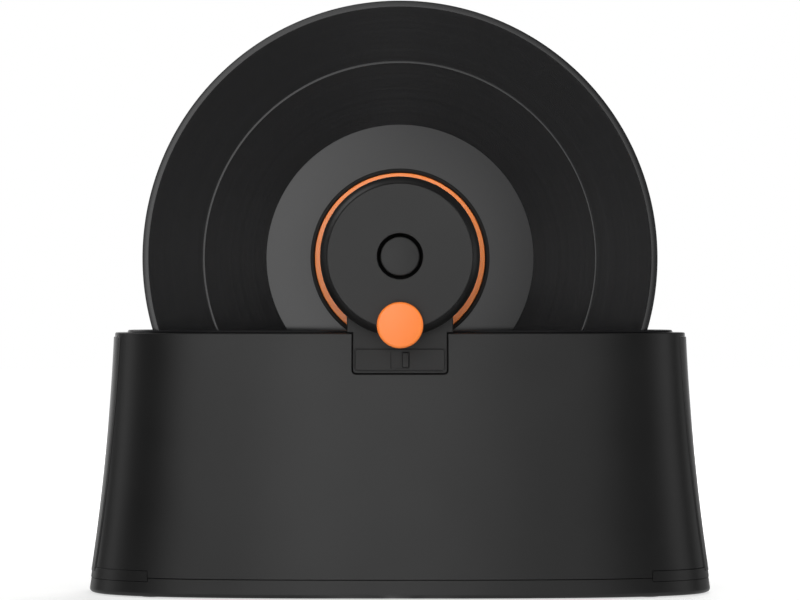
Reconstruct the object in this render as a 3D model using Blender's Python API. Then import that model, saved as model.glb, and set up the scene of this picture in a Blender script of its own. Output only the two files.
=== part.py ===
"""Hand-cranked washing machine for a 12 inch record, as separate pieces.

Metres, +Z up, front towards -Y. The origin is on the floor under the middle of
the tub, in the plane of the record. The rotor turns about a line along Y.
"""

import math

import bmesh
import bpy
from mathutils import Vector

# Fits that many pieces share
GAP = 0.0003
OVERRUN = 0.002
OUTLINE_SHARPNESS = 3.0

# Record
RECORD_RADIUS = 0.1508
RECORD_HOLE_RADIUS = 0.00362
LABEL_RADIUS = 0.0500
LABEL_THICKNESS = 0.0030
RUN_OUT_WIDTH = 0.02815
RUN_OUT_THICKNESS = 0.0022
GROOVE_THICKNESS = 0.0018
EDGE_BEAD_WIDTH = 0.0038
EDGE_BEAD_THICKNESS = 0.0024
EDGE_ROUNDING = 0.0006
RECORD_FLOOR_CLEARANCE = 0.0138
AXIS_ABOVE_RIM = 0.0434

# Casing, an oval shell that flares towards the floor
RIM_PAST_RECORD = 0.0155
RIM_HALF_DEPTH = 0.0520
STRAIGHT_FLARE_LENGTH = 0.0068
CURVED_FLARE_LENGTH = 0.00825
STRAIGHT_FLARE_DEPTH = 0.0045
CURVED_FLARE_DEPTH = 0.0055
CASING_WALL = 0.0030
RIM_ROUNDING = 0.0007
LEDGE_WIDTH = 0.0100
LEDGE_THICKNESS = 0.0028
SEAM_HEIGHT = 0.0117
SCREW_POST_FROM_END = 0.06335
SCREW_POST_FROM_SIDE = 0.0190
SCREW_POST_RADIUS = 0.0045
SCREW_POST_TOP = 0.0340
SCREW_POST_RIB_THICKNESS = 0.0030

# Notch in the front and rear walls, with the pocket that stiffens it
NOTCH_HALF_WIDTH = 0.0276
NOTCH_DEPTH = 0.0237
NOTCH_CORNER = 0.0023
POCKET_WALL = 0.0025
BOLT_POCKET_HEIGHT = 0.0046

# Base pan
PAN_UNDERSIDE = 0.0008
PAN_FLOOR = 0.0030
PAN_ROUNDING_RISE = 0.0026
PAN_ROUNDING_RUN = 0.0034
PAN_LIP_RISE = 0.0043
PAN_LIP_WALL = 0.0018
REST_PAD_RADIUS = 0.0120

# Feet and base screws
FOOT_RADIUS = 0.0075
FOOT_FROM_END = 0.03935
FOOT_FROM_SIDE = 0.0290
FOOT_THICKNESS = 0.0022
FOOT_ROUNDING = 0.0004
SCREW_HEAD_RADIUS = 0.0031
SCREW_HEAD_HEIGHT = 0.0019
SCREW_SHANK_RADIUS = 0.0015
SCREW_LENGTH = 0.0170

# End panels: a raised strip up each end over a wide foot band
PANEL_HALF_WIDTH = 0.0220
PANEL_BELOW_RIM = 0.0024
PANEL_PROUD = 0.00063
FOOT_BAND_PROUD = 0.00030
PANEL_SUNK = 0.0012
FOOT_BAND_SUNK = 0.0009
FOOT_BAND_ABOVE_SEAM = 0.0038
FOOT_BAND_BELOW_SEAM = 0.0021
FOOT_BAND_LENGTH = 0.03685

# Wash tank
TANK_CLEARANCE = 0.0006
TANK_WALL = 0.0022
TANK_UNDERSIDE = 0.0280
TANK_TAPER_LENGTH = 0.0257
TANK_TAPER_DEPTH = 0.0049
TANK_FLOOR_ROUNDING = 0.0060
TANK_LIP_INSET = 0.0070
TANK_LIP_THICKNESS = 0.0012
TANK_LIP_ROUNDING = 0.0005
TANK_NECK_HEIGHT = 0.0134

# Brush bars and the sockets that hold them on the tank's floor
BRUSH_BAR_WIDTH = 0.0160
BRUSH_BAR_THICKNESS = 0.0040
BRUSH_BAR_BELOW_SEAL = 0.0080
BRUSH_PAD_WIDTH = 0.0120
BRUSH_PAD_THICKNESS = 0.0034
BRUSH_PAD_END_MARGIN = 0.0015
BRUSH_PAD_ABOVE_SOCKET = 0.0038
BRUSH_ROUNDING = 0.0008
SOCKET_WALL = 0.0020
SOCKET_HEIGHT = 0.0080

# Brackets that drop into the notches
WING_STEP = 0.0027
LIP_TO_BRACKET = 0.0005
HOOK_SIDE_INSET = 0.0026
HOOK_REACH = 0.0055
HOOK_HEIGHT = 0.0045
BOSS_WALL = 0.0032
BOSS_PROUD = 0.0120
BOSS_BACK_PROUD = 0.0070
BEARING_WALL = 0.0022
BEARING_FLANGE_STEP = 0.0023
BEARING_FLANGE_THICKNESS = 0.0015
CAP_THICKNESS = 0.0026
CAP_CHAMFER = 0.0004
CAP_SPIGOT_LENGTH = 0.0015

# Lock cover and slider, in a window of the front bracket
WINDOW_FRAME = 0.0020
WINDOW_SILL = 0.0023
WINDOW_HEIGHT = 0.0121
WINDOW_CORNER = 0.0023
COVER_THICKNESS = 0.0016
SLOT_WIDTH = 0.0118
SLOT_OFFSET = 0.0006
SLOT_SILL = 0.0003
SLOT_HEIGHT = 0.0107
SLIDER_THICKNESS = 0.0018
SLIDER_OVERLAP = 0.0005
GRIP_WIDTH = 0.0054
GRIP_PROUD = 0.0007
GRIP_ROUNDING = 0.0004
BOLT_HEIGHT = 0.0040
BOLT_SETBACK = 0.0006
SLIDER_TRAVEL = 0.0058

# Label clamp: an orange cup and a black seal on each side of the record
SEAL_PAST_LABEL = 0.00225
SEAL_FRONT = 0.0072
SEAL_FLANGE_WIDTH = 0.0057
SEAL_FLANGE_THICKNESS = 0.0015
SEAL_ROUNDING = 0.0006
CUP_EDGE_THICKNESS = 0.0020
CUP_CONE_STEP = 0.0065
CUP_CONE_FRONT = 0.0125
CUP_BOSS_STEP = 0.0045
HUB_WALL = 0.0042
HUB_ROOT_RISE = 0.0030
HUB_LENGTH = 0.0050
CLAMP_STOP_MARGIN = 0.0010
RECORD_RELEASE_MARGIN = 0.0020

# Shafts
SHAFT_RADIUS = 0.0090
SHAFT_TO_LABEL = 0.0006
NOSE_CLEARANCE = 0.00012
NOSE_CHAMFER = 0.0008
ROD_RADIUS = 0.0014
ROD_NECK_RADIUS = 0.0005
NOSE_TIP_WALL = 0.0013
BALL_RADIUS = 0.00125
BALL_FROM_TIP = 0.0045
BALL_SETBACK = 0.00012
SOCKET_GROOVE_DEPTH = 0.0008
SOCKET_GROOVE_WIDTH = 0.0028
SOCKET_SPARE_DEPTH = 0.0038
CLIP_THICKNESS = 0.0012
CLIP_GROOVE_DEPTH = 0.0010
CLIP_PROUD = 0.0018
CLIP_TO_SHAFT_END = 0.0018
CLIP_OPENING = 0.0060

# Crank wheel
WHEEL_RADIUS = 0.0451
WHEEL_TO_BOSS = 0.0040
WHEEL_THICKNESS = 0.0185
WHEEL_WIDEST_FROM_BACK = 0.0051
WHEEL_BACK_CHAMFER = 0.0012
WHEEL_CROWN_WIDTH = 0.0043
WHEEL_EDGE_ROUNDING = 0.0007
WHEEL_SKIRT_WALL = 0.0030
WHEEL_WEB = 0.0026
BACK_PLATE_THICKNESS = 0.0020
COVER_PLATE = 0.0020
BUTTON_RADIUS = 0.01085
BUTTON_GROOVE_WIDTH = 0.00198
BUTTON_LEAD_IN = 0.0050
BUTTON_CAP_THICKNESS = 0.0038
BUTTON_CHAMFER = 0.0004
BUTTON_TRAVEL = 0.0030
STEM_RADIUS = 0.0032
STEM_LENGTH = 0.0105
STEM_CLEARANCE = 0.0005
SPRING_TO_STEM = 0.0032
SPRING_WIRE_RADIUS = 0.0004
SPRING_ROOM = 0.0080
SPRING_TURNS = 3.5
HUB_RECESS_WALL = 0.0029
SET_SCREW_RADIUS = 0.0015
SET_SCREW_INSET = 0.0004

# Knob and its pin
KNOB_FROM_WHEEL_EDGE = 0.00665
KNOB_RADIUS = 0.0129
KNOB_LENGTH = 0.0165
KNOB_FACE_ROUNDING = 0.0012
KNOB_HEAD_DEPTH = 0.0060
KNOB_NECK_RADIUS = 0.0082
KNOB_BACK_RADIUS = 0.0098
KNOB_NECK_FROM_BACK = 0.0045
KNOB_FACE_WALL = 0.0024
KNOB_PIN_RADIUS = 0.0030
KNOB_PIN_BARB = 0.0005
KNOB_PIN_BARB_LENGTH = 0.0020
KNOB_PIN_ROOT = 0.0050
KNOB_BOSS_WALL = 0.0032
KNOB_BOSS_PROUD = 0.0006
KNOB_RUNNING_GAP = 0.0002

# How finely round pieces are divided
OUTLINE_STEPS = 56
RECORD_STEPS = 64
WHEEL_STEPS = 40
SHAFT_STEPS = 20
SMALL_STEPS = 10
CORNER_STEPS = 4

# Heights and lengths that follow from the sizes above
TANK_FLOOR = TANK_UNDERSIDE + TANK_WALL
AXIS_HEIGHT = TANK_FLOOR + RECORD_FLOOR_CLEARANCE + RECORD_RADIUS
RIM_HEIGHT = AXIS_HEIGHT - AXIS_ABOVE_RIM
RIM_HALF_LENGTH = RECORD_RADIUS + RIM_PAST_RECORD
FLOOR_HALF_LENGTH = RIM_HALF_LENGTH + STRAIGHT_FLARE_LENGTH + CURVED_FLARE_LENGTH
FLOOR_HALF_DEPTH = RIM_HALF_DEPTH + STRAIGHT_FLARE_DEPTH + CURVED_FLARE_DEPTH
SCREW_POST_LENGTHWAYS = FLOOR_HALF_LENGTH - SCREW_POST_FROM_END
SCREW_POST_DEPTHWAYS = FLOOR_HALF_DEPTH - SCREW_POST_FROM_SIDE
FOOT_LENGTHWAYS = FLOOR_HALF_LENGTH - FOOT_FROM_END
FOOT_DEPTHWAYS = FLOOR_HALF_DEPTH - FOOT_FROM_SIDE
PANEL_TOP = RIM_HEIGHT - PANEL_BELOW_RIM
FOOT_BAND_TOP = SEAM_HEIGHT + FOOT_BAND_ABOVE_SEAM
FOOT_BAND_BOTTOM = SEAM_HEIGHT - FOOT_BAND_BELOW_SEAM
FOOT_BAND_START = FLOOR_HALF_LENGTH - FOOT_BAND_LENGTH
NOTCH_BOTTOM = RIM_HEIGHT - NOTCH_DEPTH
PAN_LIP_TOP = SEAM_HEIGHT + PAN_LIP_RISE
TANK_NECK_HALF_LENGTH = RIM_HALF_LENGTH - LEDGE_WIDTH - TANK_CLEARANCE
TANK_NECK_HALF_DEPTH = RIM_HALF_DEPTH - LEDGE_WIDTH - TANK_CLEARANCE
TANK_SHOULDER_HEIGHT = RIM_HEIGHT - TANK_NECK_HEIGHT
TANK_LIP_TOP = RIM_HEIGHT + GAP + TANK_LIP_THICKNESS
BRACKET_BACK = RIM_HALF_DEPTH - TANK_LIP_INSET + LIP_TO_BRACKET
WING_HALF_WIDTH = NOTCH_HALF_WIDTH + WING_STEP
HOOK_HALF_WIDTH = NOTCH_HALF_WIDTH - HOOK_SIDE_INSET
WINDOW_HALF_WIDTH = NOTCH_HALF_WIDTH - WINDOW_FRAME
WINDOW_BOTTOM = NOTCH_BOTTOM + WINDOW_SILL
WINDOW_TOP = WINDOW_BOTTOM + WINDOW_HEIGHT
SLOT_LEFT = SLOT_OFFSET - SLOT_WIDTH / 2
SLOT_RIGHT = SLOT_OFFSET + SLOT_WIDTH / 2
SLOT_BOTTOM = WINDOW_BOTTOM + SLOT_SILL
SLOT_TOP = SLOT_BOTTOM + SLOT_HEIGHT
COVER_BACK = COVER_THICKNESS + GAP
SLIDER_BACK = COVER_BACK + SLIDER_THICKNESS

# Radii that follow
RUN_OUT_RADIUS = LABEL_RADIUS + RUN_OUT_WIDTH
SEAL_RADIUS = LABEL_RADIUS + SEAL_PAST_LABEL
CUP_RADIUS = LABEL_RADIUS - GAP
SEAL_FLANGE_INNER_RADIUS = CUP_RADIUS - SEAL_FLANGE_WIDTH
HUB_RADIUS = SHAFT_RADIUS + GAP + HUB_WALL
CUP_BOSS_RADIUS = HUB_RADIUS + CUP_BOSS_STEP
CUP_CONE_RADIUS = HUB_RADIUS + CUP_CONE_STEP
BRUSH_BAR_TOP = AXIS_HEIGHT - SEAL_RADIUS - BRUSH_BAR_BELOW_SEAL
BRUSH_PAD_BOTTOM = TANK_FLOOR + SOCKET_HEIGHT + BRUSH_PAD_ABOVE_SOCKET
SHAFT_BORE_RADIUS = SHAFT_RADIUS + GAP
BEARING_RADIUS = SHAFT_BORE_RADIUS + BEARING_WALL
BOSS_RADIUS = BEARING_RADIUS + GAP + BOSS_WALL
BEARING_FLANGE_RADIUS = BEARING_RADIUS + BEARING_FLANGE_STEP
NOSE_RADIUS = RECORD_HOLE_RADIUS - NOSE_CLEARANCE
ROD_BORE_RADIUS = ROD_RADIUS + GAP
SOCKET_BORE_RADIUS = NOSE_RADIUS + GAP
SOCKET_GROOVE_RADIUS = SOCKET_BORE_RADIUS + SOCKET_GROOVE_DEPTH
CLIP_RADIUS = SHAFT_RADIUS + CLIP_PROUD
WHEEL_FACE_RADIUS = WHEEL_RADIUS - WHEEL_CROWN_WIDTH
BUTTON_GROOVE_RADIUS = BUTTON_RADIUS + BUTTON_GROOVE_WIDTH
STEM_BORE_RADIUS = STEM_RADIUS + STEM_CLEARANCE
SPRING_COIL_RADIUS = STEM_RADIUS + SPRING_TO_STEM + SPRING_WIRE_RADIUS
KNOB_OFFSET = WHEEL_RADIUS - KNOB_FROM_WHEEL_EDGE
KNOB_BOSS_RADIUS = KNOB_PIN_RADIUS + GAP + KNOB_BOSS_WALL

# Distances in front of the record's plane that follow
SHAFT_START = LABEL_THICKNESS / 2 + SHAFT_TO_LABEL
HUB_FRONT = CUP_CONE_FRONT + HUB_ROOT_RISE + HUB_LENGTH
BOSS_BACK = BRACKET_BACK - BOSS_BACK_PROUD
BOSS_FRONT = RIM_HALF_DEPTH + BOSS_PROUD
CLAMP_TRAVEL = BOSS_BACK - HUB_FRONT - CLAMP_STOP_MARGIN
HUB_START = BOSS_FRONT + BEARING_FLANGE_THICKNESS + 2 * GAP
WHEEL_BACK = BOSS_FRONT + WHEEL_TO_BOSS
WHEEL_WIDEST = WHEEL_BACK + WHEEL_WIDEST_FROM_BACK
WHEEL_FACE_FRONT = WHEEL_BACK + WHEEL_THICKNESS
WHEEL_WEB_FRONT = WHEEL_FACE_FRONT - COVER_PLATE - GAP
BUTTON_FRONT = WHEEL_FACE_FRONT + GAP
BUTTON_BACK = BUTTON_FRONT - BUTTON_CAP_THICKNESS
RECESS_FLOOR = BUTTON_BACK - SPRING_ROOM
KNOB_FRONT = WHEEL_FACE_FRONT + KNOB_LENGTH
SHAFT_FRONT = RECESS_FLOOR - GAP
REAR_SHAFT_END = BOSS_FRONT - GAP
NOSE_TIP = -(CLAMP_TRAVEL - LABEL_THICKNESS / 2 - RECORD_RELEASE_MARGIN)


def colour(red, green, blue):
    """Linear colour of an sRGB colour given as 0 to 255."""
    def linear(value):
        share = value / 255
        return share / 12.92 if share <= 0.04045 else ((share + 0.055) / 1.055) ** 2.4
    return linear(red), linear(green), linear(blue), 1.0


def material(name, base_colour, roughness, metallic=0.0):
    made = bpy.data.materials.new(name)
    made.use_nodes = True
    shader = made.node_tree.nodes["Principled BSDF"]
    shader.inputs["Base Color"].default_value = base_colour
    shader.inputs["Roughness"].default_value = roughness
    shader.inputs["Metallic"].default_value = metallic
    return made


def add_object(name, mesh, finish=None):
    made = bpy.data.objects.new(name, mesh)
    bpy.context.scene.collection.objects.link(made)
    if finish is not None:
        mesh.materials.append(finish)
    return made


def finish_mesh(name, shape, smooth_angle=30):
    """Turn a bmesh into a mesh with outward faces and smooth round sides."""
    bmesh.ops.recalc_face_normals(shape, faces=shape.faces)
    mesh = bpy.data.meshes.new(name)
    shape.to_mesh(mesh)
    shape.free()
    mesh.shade_smooth()
    mesh.set_sharp_from_angle(angle=math.radians(smooth_angle))
    return mesh


def hide_as_cutter(*tools):
    for tool in tools:
        tool.hide_render = True
        tool.display_type = "WIRE"


def combine(target, tool, operation):
    step = target.modifiers.new(f"{operation.lower()}_{tool.name}", "BOOLEAN")
    step.operation = operation
    step.object = tool
    step.solver = "EXACT"
    hide_as_cutter(tool)


def cut(target, *tools):
    for tool in tools:
        combine(target, tool, "DIFFERENCE")


def join(target, *tools):
    for tool in tools:
        combine(target, tool, "UNION")


def keep_inside(target, tool):
    combine(target, tool, "INTERSECT")


def ring_of_verts(shape, points):
    return [shape.verts.new(point) for point in points]


def bridge(shape, first, second):
    """Faces between two rings of verts, either of which may be one point."""
    if len(first) == 1 and len(second) == 1:
        return
    steps = max(len(first), len(second))
    for i in range(steps):
        j = (i + 1) % steps
        corners = [first[i % len(first)], first[j % len(first)]]
        corners += [second[j % len(second)], second[i % len(second)]]
        shape.faces.new(list(dict.fromkeys(corners)))


def turned(name, profile, steps, finish=None, facing="up", place=(0, 0, 0)):
    """Turn a profile of (radius, height) pairs about a line through place.

    A profile whose ends lie on the line is a solid, any other is a closed ring.
    Heights run up, or forwards or rearwards from the record's plane.
    """
    shape = bmesh.new()
    rings = []
    for radius, height in profile:
        if radius == 0:
            rings.append(ring_of_verts(shape, [(0, 0, height)]))
            continue
        turns = [2 * math.pi * i / steps for i in range(steps)]
        points = [(radius * math.cos(t), radius * math.sin(t), height) for t in turns]
        rings.append(ring_of_verts(shape, points))
    for first, second in zip(rings, rings[1:]):
        bridge(shape, first, second)
    if len(rings[0]) > 1:
        bridge(shape, rings[-1], rings[0])
    made = add_object(name, finish_mesh(name, shape), finish)
    made.location = place
    quarter_turns = {"up": 0, "front": 1, "rear": -1}[facing]
    made.rotation_euler.x = quarter_turns * math.pi / 2
    return made


def on_axis(name, profile, steps, finish=None, facing="front"):
    return turned(name, profile, steps, finish, facing, (0, 0, AXIS_HEIGHT))


def rod(name, radius, start, end, steps=SMALL_STEPS, facing="up", place=(0, 0, 0)):
    return turned(name, [(0, start), (radius, start), (radius, end), (0, end)], steps,
                  facing=facing, place=place)


def block(name, low, high, finish=None):
    """A rectangular solid between two corners, its origin at its centre."""
    low, high = Vector(low), Vector(high)
    shape = bmesh.new()
    bmesh.ops.create_cube(shape, size=1)
    bmesh.ops.scale(shape, vec=high - low, verts=shape.verts)
    made = add_object(name, finish_mesh(name, shape), finish)
    made.location = (low + high) / 2
    return made


def flare_share(height):
    return max(0, RIM_HEIGHT - height) / RIM_HEIGHT


def half_length(height):
    share = flare_share(height)
    return RIM_HALF_LENGTH + STRAIGHT_FLARE_LENGTH * share + CURVED_FLARE_LENGTH * share ** 2


def half_depth(height):
    share = flare_share(height)
    return RIM_HALF_DEPTH + STRAIGHT_FLARE_DEPTH * share + CURVED_FLARE_DEPTH * share ** 2


def wall_depth(x, height):
    """How far the casing's face stands from the record's plane at a point."""
    share = min(1, abs(x) / half_length(height))
    return half_depth(height) * (1 - share ** OUTLINE_SHARPNESS) ** (1 / OUTLINE_SHARPNESS)


def oval(length, depth, height):
    """Points of one level oval, from its half length and half depth."""
    power = 2 / OUTLINE_SHARPNESS
    points = []
    for i in range(OUTLINE_STEPS):
        turn = 2 * math.pi * i / OUTLINE_STEPS
        along, across = math.cos(turn), math.sin(turn)
        x = math.copysign(abs(along) ** power, along) * length
        y = math.copysign(abs(across) ** power, across) * depth
        points.append((x, y, height))
    return points


def stacked(name, levels, finish=None, is_ring=False):
    """Solid through level ovals of (half length, half depth, height)."""
    shape = bmesh.new()
    rings = [ring_of_verts(shape, oval(*level)) for level in levels]
    for first, second in zip(rings, rings[1:]):
        bridge(shape, first, second)
    if is_ring:
        bridge(shape, rings[-1], rings[0])
    else:
        shape.faces.new(rings[0])
        shape.faces.new(rings[-1])
    return add_object(name, finish_mesh(name, shape, 25), finish)


def inset_levels(profile):
    """Ovals that lie an inset inside the casing's face, for (inset, height) pairs."""
    return [(half_length(z) - inset, half_depth(z) - inset, z) for inset, z in profile]


def heights_between(start, end, count):
    return [start + (end - start) * i / count for i in range(count + 1)]


def arc(centre_x, centre_z, radius, start, end, steps):
    """Points of an arc in the XZ plane, angles in degrees from +X towards +Z."""
    points = []
    for i in range(steps + 1):
        turn = math.radians(start + (end - start) * i / steps)
        points.append((centre_x + radius * math.cos(turn), centre_z + radius * math.sin(turn)))
    return points


def rounded_outline(left, right, bottom, top, corner):
    inner_left, inner_right = left + corner, right - corner
    inner_bottom, inner_top = bottom + corner, top - corner
    points = arc(inner_right, inner_bottom, corner, -90, 0, CORNER_STEPS)
    points += arc(inner_right, inner_top, corner, 0, 90, CORNER_STEPS)
    points += arc(inner_left, inner_top, corner, 90, 180, CORNER_STEPS)
    points += arc(inner_left, inner_bottom, corner, 180, 270, CORNER_STEPS)
    return points


def upright_plate(name, outline, front_depth, back_depth, finish=None):
    """Plate with an outline in XZ. Each depth is a function of x and z, or a number."""
    def depth(rule, x, z):
        return rule(x, z) if callable(rule) else rule
    shape = bmesh.new()
    front = ring_of_verts(shape, [(x, -depth(front_depth, x, z), z) for x, z in outline])
    back = ring_of_verts(shape, [(x, -depth(back_depth, x, z), z) for x, z in outline])
    bridge(shape, front, back)
    shape.faces.new(front)
    shape.faces.new(back)
    return add_object(name, finish_mesh(name, shape), finish)


def turn_to_rear(made):
    """Turn a piece made for the front half a turn about the Z axis, to the rear."""
    made.rotation_euler.z += math.pi
    made.location.x, made.location.y = -made.location.x, -made.location.y


def carry(name, place, pieces):
    """An empty on a joint's axis that carries one moving body and what rides on it."""
    holder = bpy.data.objects.new(name, None)
    holder.location = place
    bpy.context.scene.collection.objects.link(holder)
    for piece in pieces:
        piece.parent = holder
        piece.matrix_parent_inverse.translation = -Vector(place)
    return holder


def notch_outline(shrink, top):
    """Outline of the notch's lower part, drawn in by a clearance."""
    corner = NOTCH_CORNER - shrink
    left, right = -NOTCH_HALF_WIDTH + shrink, NOTCH_HALF_WIDTH - shrink
    bottom = NOTCH_BOTTOM + shrink
    points = arc(left + corner, bottom + corner, corner, 180, 270, CORNER_STEPS)
    points += arc(right - corner, bottom + corner, corner, 270, 360, CORNER_STEPS)
    return points + [(right, top), (left, top)]


def make_casing(finish):
    inner = CASING_WALL
    ledge_under = RIM_HEIGHT - LEDGE_THICKNESS
    outer = [(0, z) for z in heights_between(SEAM_HEIGHT, RIM_HEIGHT - RIM_ROUNDING, 5)]
    rounding_shares = (0.30, 0.70), (1.0, 1.0)
    outer += [(RIM_ROUNDING * across, RIM_HEIGHT - RIM_ROUNDING * (1 - up))
              for across, up in rounding_shares]
    inside = [(LEDGE_WIDTH, RIM_HEIGHT), (LEDGE_WIDTH, ledge_under), (inner, ledge_under)]
    inside += [(inner, z) for z in heights_between(ledge_under, SEAM_HEIGHT, 5)[1:]]
    casing = stacked("casing", inset_levels(outer + inside), finish, is_ring=True)
    for side, facing in ((1, "front"), (-1, "rear")):
        pocket = notch_pocket_block(f"notch_pocket_{facing}")
        opening = upright_plate(f"notch_{facing}", notch_outline(0, RIM_HEIGHT + OVERRUN),
                                FLOOR_HALF_DEPTH + OVERRUN, RIM_HALF_DEPTH - LEDGE_WIDTH - OVERRUN)
        if side < 0:
            turn_to_rear(pocket)
            turn_to_rear(opening)
        join(casing, pocket)
        cut(casing, opening)
    add_screw_posts(casing)
    cut(casing, bolt_pocket())
    for side in (-1, 1):
        cut(casing, *panel_solids(f"panel_seat_{side}", side, GAP))
    return casing


def notch_pocket_block(name):
    """Block behind the wall from which the notch leaves two jambs and a sill."""
    half_width = NOTCH_HALF_WIDTH + POCKET_WALL
    bottom = NOTCH_BOTTOM - POCKET_WALL
    front = wall_depth(half_width, RIM_HEIGHT) - CASING_WALL / 2
    top = RIM_HEIGHT - LEDGE_THICKNESS / 2
    return block(name, (-half_width, -front, bottom), (half_width, -BRACKET_BACK, top))


def bolt_pocket():
    """Hole in the left jamb of the front notch for the slider's bolt."""
    middle = (SLOT_BOTTOM + SLOT_TOP) / 2
    front, back = slider_depths(middle)
    reach = NOTCH_HALF_WIDTH - BOLT_SETBACK + SLIDER_TRAVEL + GAP
    low = (-reach, -front - GAP, middle - BOLT_POCKET_HEIGHT / 2)
    high = (-NOTCH_HALF_WIDTH + OVERRUN, -back + GAP, middle + BOLT_POCKET_HEIGHT / 2)
    return block("bolt_pocket", low, high)


def post_places():
    return [(f"{depth_name}_{side_name}", side * SCREW_POST_LENGTHWAYS, depth * SCREW_POST_DEPTHWAYS)
            for depth_name, depth in (("front", -1), ("rear", 1))
            for side_name, side in (("left", -1), ("right", 1))]


def add_screw_posts(casing):
    bottom = PAN_UNDERSIDE + PAN_FLOOR + GAP
    for name, x, y in post_places():
        post = rod(f"screw_post_{name}", SCREW_POST_RADIUS, bottom, SCREW_POST_TOP, place=(x, y, 0))
        reach = wall_depth(x, SCREW_POST_TOP) - CASING_WALL / 2
        near, far = sorted((y, math.copysign(reach, y)))
        rib_bottom = PAN_LIP_TOP + GAP
        rib = block(f"screw_post_rib_{name}",
                    (x - SCREW_POST_RIB_THICKNESS / 2, near, rib_bottom),
                    (x + SCREW_POST_RIB_THICKNESS / 2, far, SCREW_POST_TOP - OVERRUN))
        bore = rod(f"screw_bore_{name}", SCREW_SHANK_RADIUS + GAP, bottom - OVERRUN,
                   PAN_UNDERSIDE + SCREW_LENGTH + GAP, place=(x, y, 0))
        join(casing, post, rib)
        cut(casing, bore)


def panel_solids(name, side, growth):
    """Strip and foot band of one end panel, or their seat if grown by the gap."""
    strip_out = PANEL_PROUD + (OVERRUN if growth else 0)
    strip_heights = heights_between(FOOT_BAND_TOP - OVERRUN, PANEL_TOP + growth, 5)
    strip_profile = [(-strip_out, z) for z in strip_heights]
    strip_profile += [(PANEL_SUNK + growth, z) for z in reversed(strip_heights)]
    strip = stacked(f"{name}_strip", inset_levels(strip_profile), is_ring=True)
    width = PANEL_HALF_WIDTH + growth
    reach = FLOOR_HALF_LENGTH + 2 * OVERRUN
    window_x = sorted((side * FOOT_BAND_START, side * reach))
    window = block(f"{name}_strip_window", (window_x[0], -width, 0), (window_x[1], width, RIM_HEIGHT))
    keep_inside(strip, window)
    band_out = FOOT_BAND_PROUD + (OVERRUN if growth else 0)
    band_heights = [FOOT_BAND_BOTTOM - (OVERRUN if growth else 0), FOOT_BAND_TOP + growth]
    band_profile = [(-band_out, z) for z in band_heights]
    band_profile += [(FOOT_BAND_SUNK + growth, z) for z in reversed(band_heights)]
    band = stacked(f"{name}_band", inset_levels(band_profile), is_ring=True)
    band_x = sorted((side * (FOOT_BAND_START - growth), side * reach))
    band_window = block(f"{name}_band_window", (band_x[0], -FLOOR_HALF_DEPTH - OVERRUN, 0),
                        (band_x[1], FLOOR_HALF_DEPTH + OVERRUN, RIM_HEIGHT))
    keep_inside(band, band_window)
    return strip, band


def make_end_panels(finish):
    panels = []
    for side_name, side in (("left", -1), ("right", 1)):
        strip, band = panel_solids(f"end_panel_{side_name}_part", side, 0)
        strip.name = f"end_panel_{side_name}"
        strip.data.materials.append(finish)
        join(strip, band)
        panels.append(strip)
    return panels


def make_base_pan(finish):
    wall_inset = CASING_WALL + GAP
    top = SEAM_HEIGHT - GAP
    low = PAN_UNDERSIDE
    rounding_shares = (0.45, 0.09), (0.13, 0.40), (0.0, 1.0)
    profile = [(PAN_ROUNDING_RUN, low)]
    profile += [(PAN_ROUNDING_RUN * across, low + PAN_ROUNDING_RISE * up)
                for across, up in rounding_shares]
    profile += [(0, top), (wall_inset, top), (wall_inset, PAN_LIP_TOP)]
    profile += [(wall_inset + PAN_LIP_WALL, PAN_LIP_TOP)]
    profile += [(wall_inset + PAN_LIP_WALL, low + PAN_FLOOR)]
    pan = stacked("base_pan", inset_levels(profile), finish)
    for side in (-1, 1):
        cut(pan, foot_band_relief(side))
    for name, x, y in foot_places():
        seat = rod(f"foot_seat_{name}", FOOT_RADIUS + GAP, -OVERRUN, FOOT_THICKNESS + GAP,
                   SHAFT_STEPS, place=(x, y, 0))
        foot_boss = rod(f"foot_boss_{name}", FOOT_RADIUS + PAN_FLOOR / 2, low + PAN_FLOOR / 2,
                        FOOT_THICKNESS + PAN_FLOOR, SHAFT_STEPS, place=(x, y, 0))
        join(pan, foot_boss)
        cut(pan, seat)
    for name, x, y in post_places():
        cut(pan, screw_hole(name, x, y))
    join(pan, rod("rest_pad", REST_PAD_RADIUS, 0, low + PAN_FLOOR / 2, SHAFT_STEPS))
    return pan


def foot_band_relief(side):
    """Takes the pan's edge down where the foot band of an end panel covers it."""
    low, high = FOOT_BAND_BOTTOM - GAP, SEAM_HEIGHT + OVERRUN
    profile = [(-OVERRUN, low), (-OVERRUN, high)]
    profile += [(CASING_WALL + GAP / 2, high), (CASING_WALL + GAP / 2, low)]
    relief = stacked(f"foot_band_relief_{side}", inset_levels(profile), is_ring=True)
    x = sorted((side * (FOOT_BAND_START - GAP), side * (FLOOR_HALF_LENGTH + 2 * OVERRUN)))
    window = block(f"foot_band_relief_window_{side}", (x[0], -FLOOR_HALF_DEPTH - 2 * OVERRUN, 0),
                   (x[1], FLOOR_HALF_DEPTH + 2 * OVERRUN, RIM_HEIGHT))
    keep_inside(relief, window)
    return relief


def screw_profile(growth):
    """Countersunk screw, head down, or its hole if grown by the gap."""
    head = SCREW_HEAD_RADIUS + growth
    shank = SCREW_SHANK_RADIUS + growth
    low = PAN_UNDERSIDE + GAP
    start = low - (OVERRUN if growth else 0)
    return [(0, start), (head, start), (head, low), (shank, low + SCREW_HEAD_HEIGHT),
            (shank, low + SCREW_LENGTH), (0, low + SCREW_LENGTH)]


def screw_hole(name, x, y):
    return turned(f"screw_hole_{name}", screw_profile(GAP), SMALL_STEPS, place=(x, y, 0))


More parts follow.
